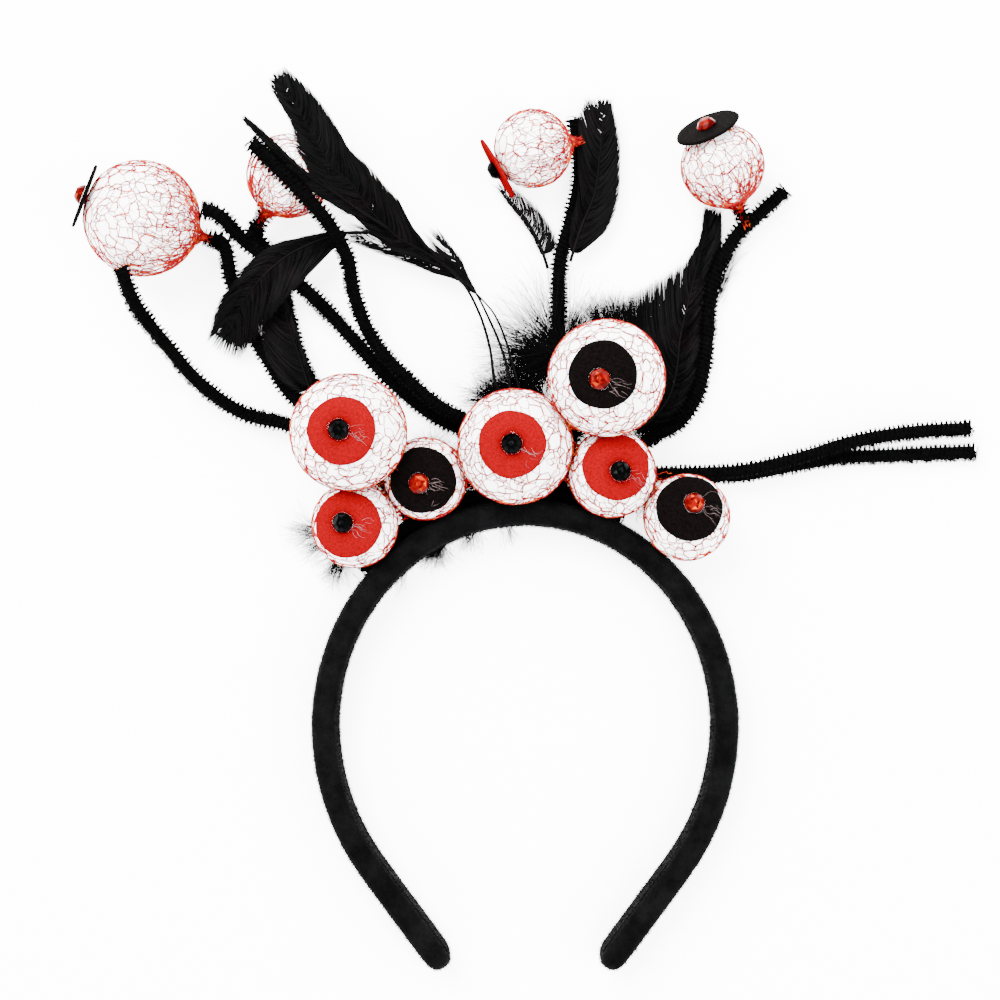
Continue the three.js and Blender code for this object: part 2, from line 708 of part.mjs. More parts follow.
// Widths are in millimetres at shares of the vane.
const FEATHERS = {
  tall: {
    path: tallPath,
    bare: 0.38,
    locks: 11,
    left: [
      [0, 1.5],
      [0.15, 7],
      [0.4, 9.5],
      [0.6, 7.5],
      [0.8, 4.5],
      [1, 3],
    ],
    right: [
      [0, 1.5],
      [0.15, 9],
      [0.4, 12],
      [0.6, 11],
      [0.8, 8],
      [1, 4],
    ],
  },
  narrow: {
    path: route(
      onTall,
      polar(stalkInner.centre, 1.45 * stalkInner.radius, 127.5, heightOver(stalkInner, 0, FEATHER_THICKNESS)),
      heightOver(stalkInner, 0, FEATHER_THICKNESS),
      [
        [0.19, 0.02, 0.84],
        [0.34, 0.03, 0.97],
        [0.52, 0.045, 1.05],
        [0.66, 0.035, 1.05],
        [0.85, 0.01, 1],
      ],
    ),
    bare: 0.2,
    locks: 8,
    left: [
      [0, 0.9],
      [0.5, 1.3],
      [1, 1.2],
    ],
    right: [
      [0, 1.2],
      [0.5, 3.4],
      [0.8, 3],
      [1, 1.2],
    ],
  },
  wisp: {
    path: route(
      underBall(middle, 94, ON_STEM + 3, FEATHER_THICKNESS),
      polar(stalkInner.centre, 2.08 * stalkInner.radius, -43, ON_STEM + 4),
      ON_STACK,
      [
        [0.14, -0.1, 0.68],
        [0.33, -0.18, 0.66],
        [0.5, -0.22, 0.66],
        [0.66, -0.17, 0.72],
        [0.79, -0.11, 0.75],
      ],
    ),
    bare: 0.52,
    locks: 7,
    left: [
      [0, 1],
      [0.3, 4],
      [0.7, 4.5],
      [1, 2],
    ],
    right: [
      [0, 1],
      [0.5, 2.5],
      [1, 1.5],
    ],
  },
  hook: {
    path: route(
      underBall(middle, 78, ON_STEM + 1.5, FEATHER_THICKNESS),
      polar(stalkMiddle.centre, 3.3 * stalkMiddle.radius, -137.5, ON_STEM),
      ON_STACK,
      [
        [0.22, -0.05, 0.45],
        [0.5, -0.08, 0.42],
        [0.7, -0.03, 0.42],
        [0.86, -0.02, 0.42],
      ],
    ),
    bare: 0.66,
    locks: 5,
    left: [
      [0, 0.9],
      [0.5, 1.8],
      [1, 1],
    ],
    right: [
      [0, 0.9],
      [0.5, 2.2],
      [1, 1],
    ],
  },
  curled: {
    path: route(
      polar(stalkInner.centre, 2.4 * stalkInner.radius, -34.6, ON_STACK),
      polar(stalkLeft.centre, 2.47 * stalkLeft.radius, -55.6, ON_STEM),
      ON_STACK,
      [
        [0.12, -0.08, 1],
        [0.26, -0.13, 1.04],
        [0.45, -0.16, 1.12],
        [0.64, -0.14, 1.2],
        [0.81, -0.09, 1],
      ],
    ),
    bare: 0.12,
    locks: 9,
    left: [
      [0, 1.5],
      [0.25, 6],
      [0.55, 11],
      [0.85, 9],
      [1, 3],
    ],
    right: [
      [0, 1],
      [0.3, 2.5],
      [0.7, 5],
      [0.9, 6.5],
      [1, 3],
    ],
  },
  tucked: {
    path: route(
      polar(highLeft.centre, highLeft.radius, 138, ON_STEM),
      polar(stalkLeft.centre, 2.6 * stalkLeft.radius, -27.5, ON_STEM),
      ON_STEM,
      [
        [0.32, 0, 1],
        [0.66, 0, 1],
      ],
    ),
    bare: 0.08,
    locks: 6,
    left: [
      [0, 2],
      [0.4, 5],
      [0.8, 5],
      [1, 1.5],
    ],
    right: [
      [0, 2],
      [0.4, 4.5],
      [0.8, 3],
      [1, 1.5],
    ],
  },
  under_eye: {
    path: route(
      besideStem("middle", 0.6, STEM_DIAMETER / 2 + GAP + QUILL_RADIUS, LAY),
      polar(stalkMiddle.centre, 1.2 * stalkMiddle.radius, -135, FEATHER_THICKNESS),
      LAY,
      [
        [0.31, -0.06, 1],
        [0.58, -0.06, 1],
        [0.8, -0.02, 1],
      ],
    ),
    bare: 0.15,
    locks: 6,
    left: [
      [0, 1],
      [0.4, 2],
      [1, 1.5],
    ],
    right: [
      [0, 2],
      [0.3, 6.5],
      [0.7, 6],
      [1, 2],
    ],
  },
  upright: {
    path: route(
      besideStem("middle", 0.62, -0.6 * STEM_DIAMETER, ON_STEM),
      polar(stalkMiddle.centre, 2.23 * stalkMiddle.radius, 34.5, ON_STEM),
      ON_STEM,
      [
        [0.21, -0.02, 1],
        [0.43, -0.06, 1],
        [0.65, -0.05, 1],
        [0.84, -0.03, 1],
      ],
    ),
    bare: 0.06,
    locks: 9,
    left: [
      [0, 2],
      [0.3, 6],
      [0.5, 5],
      [0.9, 4],
      [1, 2],
    ],
    right: [
      [0, 2.5],
      [0.3, 9.5],
      [0.6, 9],
      [0.9, 7],
      [1, 3.5],
    ],
  },
  downy: {
    path: route(
      besideStem("right", 0.08, STEM_DIAMETER / 2 + GAP + QUILL_RADIUS, LAY),
      polar(stalkRight.centre, 1.06 * stalkRight.radius, -106, LAY),
      LAY,
      [
        [0.18, -0.08, 1],
        [0.3, -0.08, 1],
        [0.46, -0.05, 1],
        [0.6, -0.04, 1],
        [0.75, -0.03, 1],
        [0.9, -0.02, 1],
      ],
    ),
    bare: 0.08,
    locks: 11,
    left: [
      [0, 3],
      [0.15, 10],
      [0.3, 32],
      [0.42, 28],
      [0.56, 21],
      [0.7, 11],
      [0.85, 6],
      [1, 1.5],
    ],
    right: [
      [0, 1.2],
      [0.2, 2.8],
      [0.9, 2.2],
      [1, 1],
    ],
  },
};

for (const [name, feather] of Object.entries(FEATHERS)) {
  addPiece(`feather_${name}`, featherGeometry(feather), plume);
}

// The down around the foot of the middle stem
// Locks spread from a soft head that lies on the stem. Each lock has a reach in millimetres, a heading and a
// height at its tip.

const DOWN_HEAD_RADIUS = 3.4;
const DOWN_LOCKS = [
  { reach: 21, heading: 219, width: 5, end: LAY },
  { reach: 25, heading: 202, width: 5, end: LAY },
  { reach: 29, heading: 184, width: 4, end: LAY },
  { reach: 27, heading: 164, width: 4.5, end: LAY },
  { reach: 26, heading: 141, width: 4.5, end: LAY },
  { reach: 32, heading: 114, width: 4.5, end: LAY },
  { reach: 36, heading: 97, width: 4, end: ON_STEM + FEATHER_THICKNESS + GAP },
  { reach: 28, heading: 76, width: 5, end: ON_STEM + FEATHER_THICKNESS + GAP },
  { reach: 15, heading: 60, width: 4.5, end: ON_STEM },
];

function downGeometry() {
  const head = besideStem("middle", 0.38, 0, ON_STEM + FEATHER_THICKNESS);
  const ball = new THREE.IcosahedronGeometry(DOWN_HEAD_RADIUS, 1);
  ball.scale(1, 1, (FEATHER_THICKNESS * 1.45) / DOWN_HEAD_RADIUS);
  ball.translate(...head);
  const locks = DOWN_LOCKS.map(({ reach, heading, width, end }) => {
    const halfway = polar(head, reach / 2, heading + 3, (head.z + end) / 2);
    const path = new THREE.CatmullRomCurve3([head, halfway, polar(head, reach, heading, end)]);
    const spread = [
      [0, width * 0.5],
      [0.5, width],
      [1, width * 0.4],
    ];
    return featherGeometry({ path, bare: 0.05, locks: 3, left: spread, right: spread });
  });
  return fused([ball, ...locks]);
}

addPiece("down_tuft", downGeometry(), plume);

export default headpiece;
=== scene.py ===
# %% [markdown]
# # A costume headband with foam eyeballs
# The real headband is a padded velvet band with foam balls, felt discs, faceted stones, chenille stems and
# feathers glued to its crown. The plain solids of the CAD model say where each piece lies. This script
# dresses every solid with a finer piece in the same place.

# %% Load the frame
import math

import bpy
import numpy as np
from mathutils import Matrix, Vector


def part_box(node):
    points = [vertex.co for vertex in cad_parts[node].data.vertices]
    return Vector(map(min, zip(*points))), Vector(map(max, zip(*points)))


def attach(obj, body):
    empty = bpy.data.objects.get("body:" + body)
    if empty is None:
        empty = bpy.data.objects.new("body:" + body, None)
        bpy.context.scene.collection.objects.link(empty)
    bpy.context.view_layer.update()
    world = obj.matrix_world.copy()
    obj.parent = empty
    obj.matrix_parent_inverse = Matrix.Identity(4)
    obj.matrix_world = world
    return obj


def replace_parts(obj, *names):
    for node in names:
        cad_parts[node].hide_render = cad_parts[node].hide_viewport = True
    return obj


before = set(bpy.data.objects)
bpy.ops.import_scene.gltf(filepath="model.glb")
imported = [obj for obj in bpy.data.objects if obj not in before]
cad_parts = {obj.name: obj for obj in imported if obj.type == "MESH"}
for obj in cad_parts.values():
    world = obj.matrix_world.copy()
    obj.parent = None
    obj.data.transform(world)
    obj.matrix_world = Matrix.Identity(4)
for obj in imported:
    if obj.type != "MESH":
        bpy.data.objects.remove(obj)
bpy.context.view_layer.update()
print("CAD nodes:", len(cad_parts))

# %% [markdown]
# ## Camera, floor and light
# The photograph was taken from straight above with a longish lens, so the balls near the edge show a little
# of their sides. The camera hangs 0.7 m over the table and looks down. Large area lights and a bright world
# give the soft, nearly shadowless light of a product photograph.

# %% Camera
MM = 0.001
CAMERA_AT = (-8.9, 4.1, 700.0)  # millimetres
LENS = 70

bpy.ops.object.camera_add(location=[MM * value for value in CAMERA_AT], rotation=(0, 0, 0))
camera = bpy.context.object
camera.name = "camera"
camera.data.lens = LENS
camera.data.clip_start = 0.01
bpy.context.scene.camera = camera

# %% Lights and floor
KEY_WATTS = 140
FILL_WATTS = 58
WORLD_STRENGTH = 5.8
TABLE_SIZE = 60  # metres, so that its edge is out of sight
TABLE_DROP = 0.0002  # metres below the part


def area_light(name, place, size, watts):
    bpy.ops.object.light_add(type="AREA", location=place)
    lamp = bpy.context.object
    lamp.name = name
    lamp.data.size = size
    lamp.data.energy = watts
    lamp.rotation_euler = (-Vector(place)).to_track_quat("-Z", "Y").to_euler()
    return lamp


area_light("key_light", (-0.55, 0.75, 1.3), 0.9, KEY_WATTS)
area_light("fill_light", (0.8, -0.3, 1.2), 1.1, FILL_WATTS)

world = bpy.data.worlds.new("studio")
world.use_nodes = True
world.node_tree.nodes["Background"].inputs["Color"].default_value = (1, 1, 1, 1)
world.node_tree.nodes["Background"].inputs["Strength"].default_value = WORLD_STRENGTH
bpy.context.scene.world = world

bpy.ops.mesh.primitive_plane_add(size=TABLE_SIZE, location=(0, 0, -TABLE_DROP))
floor = bpy.context.object
floor.name = "table"

# %% [markdown]
# ## Helpers for making pieces
# Fibres, threads and barbs come in thousands. Adding each as an object would take minutes, so each kind is
# laid out as arrays of points, and all fibres of one piece become one mesh. Everything is worked out in
# millimetres and turned into metres at the last moment.

# %% Selection and meshes from arrays
chance = np.random.default_rng(31)


def choose(piece):
    bpy.ops.object.select_all(action="DESELECT")
    piece.select_set(True)
    bpy.context.view_layer.objects.active = piece


def linked(name, mesh):
    piece = bpy.data.objects.new(name, mesh)
    bpy.context.scene.collection.objects.link(piece)
    return piece


def in_edit_mode(piece, *steps):
    """Runs mesh steps on everything in a piece."""
    choose(piece)
    bpy.ops.object.mode_set(mode="EDIT")
    bpy.ops.mesh.select_all(action="SELECT")
    for step in steps:
        step()
    bpy.ops.object.mode_set(mode="OBJECT")


def merge_doubles():
    bpy.ops.mesh.remove_doubles(threshold=1e-6)


def from_arrays(name, points, faces, material):
    """A smooth mesh from an array of points in millimetres and an array of triangles."""
    mesh = bpy.data.meshes.new(name)
    mesh.vertices.add(len(points))
    mesh.vertices.foreach_set("co", (points * MM).astype(np.float32).ravel())
    mesh.loops.add(faces.size)
    mesh.loops.foreach_set("vertex_index", faces.astype(np.int32).ravel())
    mesh.polygons.add(len(faces))
    mesh.polygons.foreach_set("loop_start", np.arange(0, faces.size, 3, dtype=np.int32))
    mesh.update(calc_edges=True)
    mesh.validate()
    mesh.shade_smooth()
    mesh.materials.append(material)
    return linked(name, mesh)


def together(*parts):
    """Stacks several (points, faces) pairs into one pair."""
    points, faces, start = [], [], 0
    for part_points, part_faces in parts:
        points.append(part_points)
        faces.append(part_faces + start)
        start += len(part_points)
    return np.concatenate(points), np.concatenate(faces)


def joined(name, pieces):
    """Joins objects into the first one and gives it a name."""
    choose(pieces[0])
    for piece in pieces[1:]:
        piece.select_set(True)
    bpy.ops.object.join()
    pieces[0].name = name
    return pieces[0]


def hand_over(piece, slot, *nodes):
    """Every finished piece rides on the one body and may hide CAD nodes. The slot is not used."""
    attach(piece, "root")
    if nodes:
        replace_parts(piece, *nodes)
    return piece


# %% Rows of tubes, blades and hairs
def unit(vectors):
    return vectors / np.maximum(np.linalg.norm(vectors, axis=-1, keepdims=True), 1e-9)


def circled(radius, turn, height):
    """Points at a radius and an angle about the Z axis, at a height."""
    return np.stack(np.broadcast_arrays(radius * np.cos(turn), radius * np.sin(turn), height), axis=-1)


def frames(paths, sizes, upward):
    """Paths as (path, point, xyz), one size for each point, and the ways ahead and across there."""
    paths = np.asarray(paths, float)
    ahead = unit(np.gradient(paths, axis=1))
    across = unit(np.cross(ahead, np.broadcast_to(upward, paths.shape)))
    return paths, np.broadcast_to(sizes, paths.shape[:2]), ahead, across


def tubes(paths, radii, upward, sides=3):
    """Closed tubes along many paths at once."""
    paths, radii, ahead, across = frames(paths, radii, upward)
    count, steps = radii.shape
    above = np.cross(across, ahead)
    turn = 2 * np.pi * np.arange(sides) / sides
    spokes = np.cos(turn)[:, None] * above[:, :, None] + np.sin(turn)[:, None] * across[:, :, None]
    points = paths[:, :, None] + radii[:, :, None, None] * spokes
    index = np.arange(count * steps * sides).reshape(count, steps, sides)
    a, c = index[:, :-1], index[:, 1:]
    b, d = np.roll(a, -1, axis=2), np.roll(c, -1, axis=2)
    faces = [np.stack([a, b, d], -1).reshape(-1, 3), np.stack([a, d, c], -1).reshape(-1, 3)]
    for j in range(1, sides - 1):
        faces.append(index[:, 0, [0, j + 1, j]])
        faces.append(index[:, -1, [0, j, j + 1]])
    return points.reshape(-1, 3), np.concatenate(faces)


def blades(paths, widths, facing):
    """Flat tapering blades along many paths at once."""
    paths, widths, _, across = frames(paths, widths, facing)
    count, steps = widths.shape
    edge = 0.5 * widths[..., None] * across
    points = np.stack([paths - edge, paths + edge], axis=2)
    index = np.arange(count * steps * 2).reshape(count, steps, 2)
    a, b = index[:, :-1, 0], index[:, :-1, 1]
    c, d = index[:, 1:, 0], index[:, 1:, 1]
    faces = [np.stack([a, b, d], -1).reshape(-1, 3), np.stack([a, d, c], -1).reshape(-1, 3)]
    return points.reshape(-1, 3), np.concatenate(faces)


def hairs(roots, tips, width):
    """One thin triangle for each short fibre, turned at random about its own length."""
    across = unit(np.cross(tips - roots, chance.normal(size=roots.shape)))
    half = 0.5 * np.broadcast_to(width, len(roots))[:, None] * across
    points = np.stack([roots - half, roots + half, tips], axis=1).reshape(-1, 3)
    return points, np.arange(len(points)).reshape(-1, 3)


# %% [markdown]
# ## Materials
# Each finish starts from a Principled surface. Numbers that are the same all over go straight on its
# sockets, and a noise on Object coordinates adds the mottling and the fine relief, so both stay with the
# piece when it is seen from another side.

# %% Material helpers
def new_material(name, color, roughness, **sockets):
    material = bpy.data.materials.new(name)
    material.use_nodes = True
    surface = material.node_tree.nodes["Principled BSDF"]
    surface.inputs["Base Color"].default_value = (*color, 1)
    surface.inputs["Roughness"].default_value = roughness
    for socket, value in sockets.items():
        surface.inputs[socket.replace("_", " ")].default_value = value
    return material


def parts_of(material):
    """The nodes and links of a material, and the sockets of its surface."""
    tree = material.node_tree
    return tree.nodes, tree.links, tree.nodes["Principled BSDF"].inputs


def noise_on(material, scale, detail):
    """A noise over Object coordinates. The scale is in lumps per metre."""
    nodes, links, _ = parts_of(material)
    place = nodes.new("ShaderNodeTexCoord")
    noise = nodes.new("ShaderNodeTexNoise")
    noise.inputs["Scale"].default_value = scale
    noise.inputs["Detail"].default_value = detail
    links.new(place.outputs["Object"], noise.inputs["Vector"])
    return noise.outputs["Fac"]


def attribute_on(material, attribute):
    read = material.node_tree.nodes.new("ShaderNodeAttribute")
    read.attribute_name = attribute
    return read.outputs["Fac"]


def color_by(material, value, stops):
    """Takes the base colour from a value between 0 and 1. The stops are (position, colour) pairs."""
    nodes, links, surface = parts_of(material)
    ramp = nodes.new("ShaderNodeValToRGB")
    elements = ramp.color_ramp.elements
    for _ in stops[2:]:
        elements.new(0.5)
    for element, (position, color) in zip(elements, stops):
        element.position = position
        element.color = (*color, 1)
    links.new(value, ramp.inputs["Fac"])
    links.new(ramp.outputs["Color"], surface["Base Color"])


def mottle(material, scale, low, high, detail=4, span=(0.35, 0.65)):
    """Lets the base colour wander between two colours."""
    color_by(material, noise_on(material, scale, detail), [(span[0], low), (span[1], high)])


def relief(material, scale, height, strength=1.0, detail=3):
    """Adds bumps of a height in millimetres."""
    nodes, links, surface = parts_of(material)
    bump = nodes.new("ShaderNodeBump")
    bump.inputs["Strength"].default_value = strength
    bump.inputs["Distance"].default_value = height * MM
    links.new(noise_on(material, scale, detail), bump.inputs["Height"])
    links.new(bump.outputs["Normal"], surface["Normal"])


def shade_by(material, value, darkest=0.35):
    """Paints shade into the base colour: darkens it where a value rises from 0 to 1."""
    nodes, links, surface = parts_of(material)
    factor = nodes.new("ShaderNodeMapRange")
    factor.inputs["To Min"].default_value = 1
    factor.inputs["To Max"].default_value = darkest
    times = nodes.new("ShaderNodeVectorMath")
    times.operation = "SCALE"
    links.new(value, factor.inputs["Value"])
    links.new(surface["Base Color"].links[0].from_socket, times.inputs[0])
    links.new(factor.outputs["Result"], times.inputs["Scale"])
    links.new(times.outputs["Vector"], surface["Base Color"])


# %% Finishes of this headband
TABLE_GLOW = 4.0
table_white = new_material("table_white", (0.93, 0.93, 0.93), 0.9)
table_surface = parts_of(table_white)[2]
table_surface["Emission Color"].default_value = (1, 1, 1, 1)
table_surface["Emission Strength"].default_value = TABLE_GLOW
floor.data.materials.append(table_white)

velvet = new_material("black_velvet", (0.0007, 0.0007, 0.0007), 0.95, Specular_IOR_Level=0.015)
mottle(velvet, 140, (0.0004, 0.0004, 0.0004), (0.0013, 0.0013, 0.0014))
relief(velvet, 2600, 0.25, 0.6)

foam = new_material("white_foam", (0.92, 0.88, 0.88), 0.75, Subsurface_Weight=0.15, Subsurface_Scale=0.004)
# Painted light: the pink in this mottle stands for red light thrown back from the net onto the white foam.
mottle(foam, 320, (0.93, 0.83, 0.83), (0.95, 0.93, 0.93))
relief(foam, 900, 0.12, 0.5)

red_thread = new_material("red_net_thread", (0.17, 0.001, 0.004), 0.5, Specular_IOR_Level=0.03)
# The orange at the bright end of this mottle is painted glint, light caught on the threads; the deeper reds
# are the thread's own uneven colour.
mottle(red_thread, 420, (0.15, 0.0, 0.002), (0.45, 0.06, 0.002), span=(0.52, 0.68))

red_felt = new_material("red_felt", (0.085, 0, 0.0012), 0.95, Specular_IOR_Level=0)
mottle(red_felt, 1500, (0.07, 0.0, 0.0008), (0.1, 0.0, 0.0015))
# Painted shade: the red felt is darkened next to each stone, as if the stone shaded it.
shade_by(red_felt, attribute_on(red_felt, "painted_stone_shade"))
relief(red_felt, 2200, 0.25, 0.7)

black_felt = new_material("black_felt", (0.0007, 0.0005, 0.0005), 0.95, Specular_IOR_Level=0.01)
mottle(black_felt, 1300, (0.0004, 0.0002, 0.0002), (0.0013, 0.0009, 0.0008))
relief(black_felt, 2200, 0.25, 0.7)

red_stone = new_material("red_stone", (0.08, 0, 0), 0.05, Specular_IOR_Level=0.015)
RED_CUTS = [(0, (0.006, 0, 0)), (0.5, (0.05, 0, 0)), (0.85, (0.1, 0.001, 0)), (1, (0.3, 0.04, 0.002))]
color_by(red_stone, attribute_on(red_stone, "cut"), RED_CUTS)

black_stone = new_material("black_stone", (0.0005, 0.0005, 0.0005), 0.05, Specular_IOR_Level=0.006)
BLACK_CUTS = [(0, (0, 0, 0)), (0.8, (0.0003, 0.0004, 0.0004)), (1, (0.007, 0.008, 0.008))]
color_by(black_stone, attribute_on(black_stone, "cut"), BLACK_CUTS)

clear_glue = new_material("clear_glue", (1, 1, 1), 0.2, Transmission_Weight=1.0, IOR=1.16)

glue_string = new_material("dry_glue_string", (0.09, 0.055, 0.055), 0.4)

pile = new_material("black_chenille_pile", (0.0003, 0.0003, 0.0003), 0.9, Specular_IOR_Level=0.015)

barb = new_material("black_feather_barb", (0.0004, 0.0003, 0.0003), 0.55, Specular_IOR_Level=0.02)
# This mottle is partly the barbs' own uneven tone and partly painted sheen: its lighter brownish patches
# stand for light caught and reflected on the glossy vanes.
mottle(barb, 90, (0.0002, 0.0002, 0.0002), (0.0012, 0.0005, 0.0007), span=(0.5, 0.75))

down_fibre = new_material("black_down", (0.0004, 0.0004, 0.0004), 0.8, Specular_IOR_Level=0.015)
print("materials:", len(bpy.data.materials))

# %% [markdown]
# ## Where the eyes are
# The frame already holds a plain ball, disc and stone for each eye. Their middles give the place of each
# eye and the way that it looks, so no direction has to be written down again here.

# %% Read the eyes from the frame
EYE_NAMES = [
    "high_left", "low_left", "near_left", "middle", "high_right", "near_right", "low_right",
    "stalk_left", "stalk_inner", "stalk_middle", "stalk_right",
]
BLACK_IRIS = {"near_left", "high_right", "low_right", "stalk_left", "stalk_right"}
GAP = 0.3  # millimetres between pieces of the CAD model
IRIS_RADIUS = 11.5
IRIS_THICKNESS = 1.0
CROWN_DISH = 0.85


def middle_of(node):
    """The mean of a node's corners, each counted once."""
    corners = np.array([v.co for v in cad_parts[node].data.vertices]) / MM
    return np.unique(corners.round(3), axis=0).mean(axis=0)


eyes = {}
for name in EYE_NAMES:
    low, high = (np.array(corner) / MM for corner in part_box(f"ball_{name}"))
    centre = (low + high) / 2
    eyes[name] = {
        "centre": centre,
        "radius": (high[2] - low[2]) / 2,
        "look": unit(middle_of(f"iris_{name}") - centre),
        "gem": middle_of(f"gem_{name}"),
        "dish": 0.0 if name.startswith("stalk") else CROWN_DISH,
    }
print("eyes:", {name: round(eye["radius"], 1) for name, eye in eyes.items()})


def seat(place, look):
    """A turn and a shift that stand a piece made about the origin, its face along +Z, on a place."""
    right = unit(np.array([1.0, 0, 0]) - look[0] * look)
    ahead = np.cross(look, right)
    turned = np.column_stack([right, ahead, look])
    return turned, np.asarray(place, float)


def seated(points, place, look):
    turned, shift = seat(place, look)
    return points @ turned.T + shift


def felt_place(eye):
    """The middle of the underside of an iris."""
    return eye["centre"] + eye["look"] * (eye["radius"] + GAP)


# %% [markdown]
# ## Foam balls
# A pressed foam ball is smooth with a slightly uneven skin. A sphere primitive gives even faces, a small
# random push along the normals makes the skin uneven, and one round of smoothing softens it again.

# %% Make the balls
BALL_UNEVEN = 0.10  # millimetres


def foam_ball(name, eye):
    def roughen():
        bpy.ops.transform.vertex_random(offset=BALL_UNEVEN * MM, uniform=0.0, normal=1.0, seed=len(name))

    def soften():
        bpy.ops.mesh.vertices_smooth(factor=0.4)

    place = [MM * value for value in eye["centre"]]
    bpy.ops.mesh.primitive_ico_sphere_add(subdivisions=5, radius=eye["radius"] * MM, location=place)
    ball = bpy.context.object
    ball.name = f"foam_ball_{name}"
    choose(ball)
    bpy.ops.object.transform_apply(location=True, rotation=True, scale=True)
    in_edit_mode(ball, roughen, soften)
    ball.data.shade_smooth()
    ball.data.materials.append(foam)
    return hand_over(ball, "foam", f"ball_{name}")


for name, eye in eyes.items():
    foam_ball(name, eye)
print("foam balls:", len(eyes))

# %% [markdown]
# ## Red net
# The net is a fine stretch mesh pulled over each ball, with uneven cells a few millimetres across. Points
# spread over the sphere are wrapped in a convex hull, which joins each to its neighbours with triangles.
# The middles of those triangles are then the knots of the net, and a thread runs between the middles of any
# two triangles that share an edge. Pulling the points towards one pole bunches the net where it is tied.

# %% Points spread over a ball
def even_points(count):
    """Points spread evenly over a unit sphere along a golden spiral, about the +Z pole."""
    step = np.arange(count) + 0.5
    height = 1 - 2 * step / count
    turn = np.pi * (1 + 5**0.5) * step
    return circled(np.sqrt(1 - height**2), turn, height)


def hull_triangles(points):
    """The triangles that wrap points on a sphere."""
    mesh = bpy.data.meshes.new("hull")
    mesh.from_pydata(points.tolist(), [], [])
    wrap = linked("hull", mesh)
    in_edit_mode(wrap, bpy.ops.mesh.convex_hull, bpy.ops.mesh.quads_convert_to_tris)
    corners = np.array([v.co for v in mesh.vertices])
    triangles = np.array([polygon.vertices[:] for polygon in mesh.polygons])
    bpy.data.objects.remove(wrap)
    return corners, triangles


def pulled(points, pole, power):
    """Draws points on a unit sphere towards a pole."""
    angle = np.arccos(np.clip(points @ pole, -1, 1))
    nearer = np.pi * (angle / np.pi) ** power
    away = unit(points - (points @ pole)[:, None] * pole)
    return np.cos(nearer)[:, None] * pole + np.sin(nearer)[:, None] * away


# %% Threads of the net
CELL_AREA = 8.6  # square millimetres
LOOSE_CELL_AREA = 26  # the second layer, where the net is folded over
CELL_UNEVEN = 0.6  # share of the cell size
KNOT_UNEVEN = 0.12  # share of the cell size
THREAD_SWAY = 0.1  # share of a thread's length
THREAD_RADIUS = 0.16


def net_threads(eye, pole, power, cell_area=CELL_AREA, keep=1.0):
    radius = eye["radius"]
    count = int(4 * np.pi * radius**2 / cell_area)
    cell = math.sqrt(4 * np.pi / count)
    points = unit(even_points(count) + CELL_UNEVEN * cell * chance.normal(size=(count, 3)))
    corners, triangles = hull_triangles(pulled(points, pole, power))
    knots = unit(corners[triangles].mean(axis=1))
    knots = unit(knots + KNOT_UNEVEN * cell * chance.normal(size=knots.shape))
    owners = {}
    pairs = []
    for face, triangle in enumerate(triangles):
        for i in range(3):
            edge = tuple(sorted((triangle[i], triangle[(i + 1) % 3])))
            if edge in owners:
                pairs.append((owners[edge], face))
            owners[edge] = face
    pairs = np.array(pairs)
    pairs = pairs[chance.uniform(size=len(pairs)) < keep]
    start, end = knots[pairs[:, 0]], knots[pairs[:, 1]]
    sway = THREAD_SWAY * np.linalg.norm(end - start, axis=1)[:, None] * chance.normal(size=start.shape)
    path = unit(np.stack([start, (start + end) / 2 + sway, end], axis=1))
    lift = radius + THREAD_RADIUS * 0.8
    thick = THREAD_RADIUS * chance.uniform(0.45, 1.75, size=(len(path), 1))
    return tubes(eye["centre"] + lift * path, thick, path)


# %% Strands over the net
GATHER_POINTS = 7
GATHER_START = 0.16  # radians from the pole
LONG_THREADS = 16
LONG_POINTS = 16


def gathered_strands(eye, pole, reach, count):
    """Long threads that fan out over the ball from where the net is tied."""
    turn = chance.uniform(0, 2 * np.pi, (count, 1))
    far = chance.uniform(0.45, 1.0, (count, 1)) * reach
    share = np.linspace(0, 1, GATHER_POINTS)
    angle = GATHER_START + share * far
    heading = turn + 0.1 * np.sin(5 * share + 6 * turn) + 0.35 * share * chance.normal(size=(count, 1))
    outward = seated(circled(np.sin(angle), heading, np.cos(angle)), (0, 0, 0), pole)
    thick = THREAD_RADIUS * np.linspace(1.3, 0.6, GATHER_POINTS)
    return tubes(eye["centre"] + (eye["radius"] + THREAD_RADIUS) * outward, thick, outward)


def long_threads(eye):
    """Loose threads that run a good way round the ball, over the cells."""
    start = unit(chance.normal(size=(LONG_THREADS, 1, 3)))
    axis = unit(np.cross(start, chance.normal(size=(LONG_THREADS, 1, 3))))
    angle = np.linspace(0, 1, LONG_POINTS)[:, None] * chance.uniform(0.9, 2.3, (LONG_THREADS, 1, 1))
    arc = np.cos(angle) * start + np.sin(angle) * np.cross(axis, start)
    sway = 0.045 * np.cumsum(chance.normal(size=(LONG_THREADS, LONG_POINTS, 1)), axis=1)
    outward = unit(arc + sway * axis)
    return tubes(eye["centre"] + (eye["radius"] + 0.1) * outward, THREAD_RADIUS * 0.85, outward)


# %% Put the nets on
TIES = {"stalk_left": "left", "stalk_inner": "inner", "stalk_middle": "middle", "stalk_right": "right"}
TIED_NET = dict(pull=1.5, loose_pull=1.8, keep=1.0, reach=2.3, strands=150)
GLUED_NET = dict(pull=1.22, loose_pull=1.6, keep=0.94, reach=1.4, strands=60)


def tie_direction(tie):
    """From the middle of a stalk eye to where its net is tied."""
    return unit(middle_of(f"net_tie_{tie}") - eyes[f"stalk_{tie}"]["centre"])


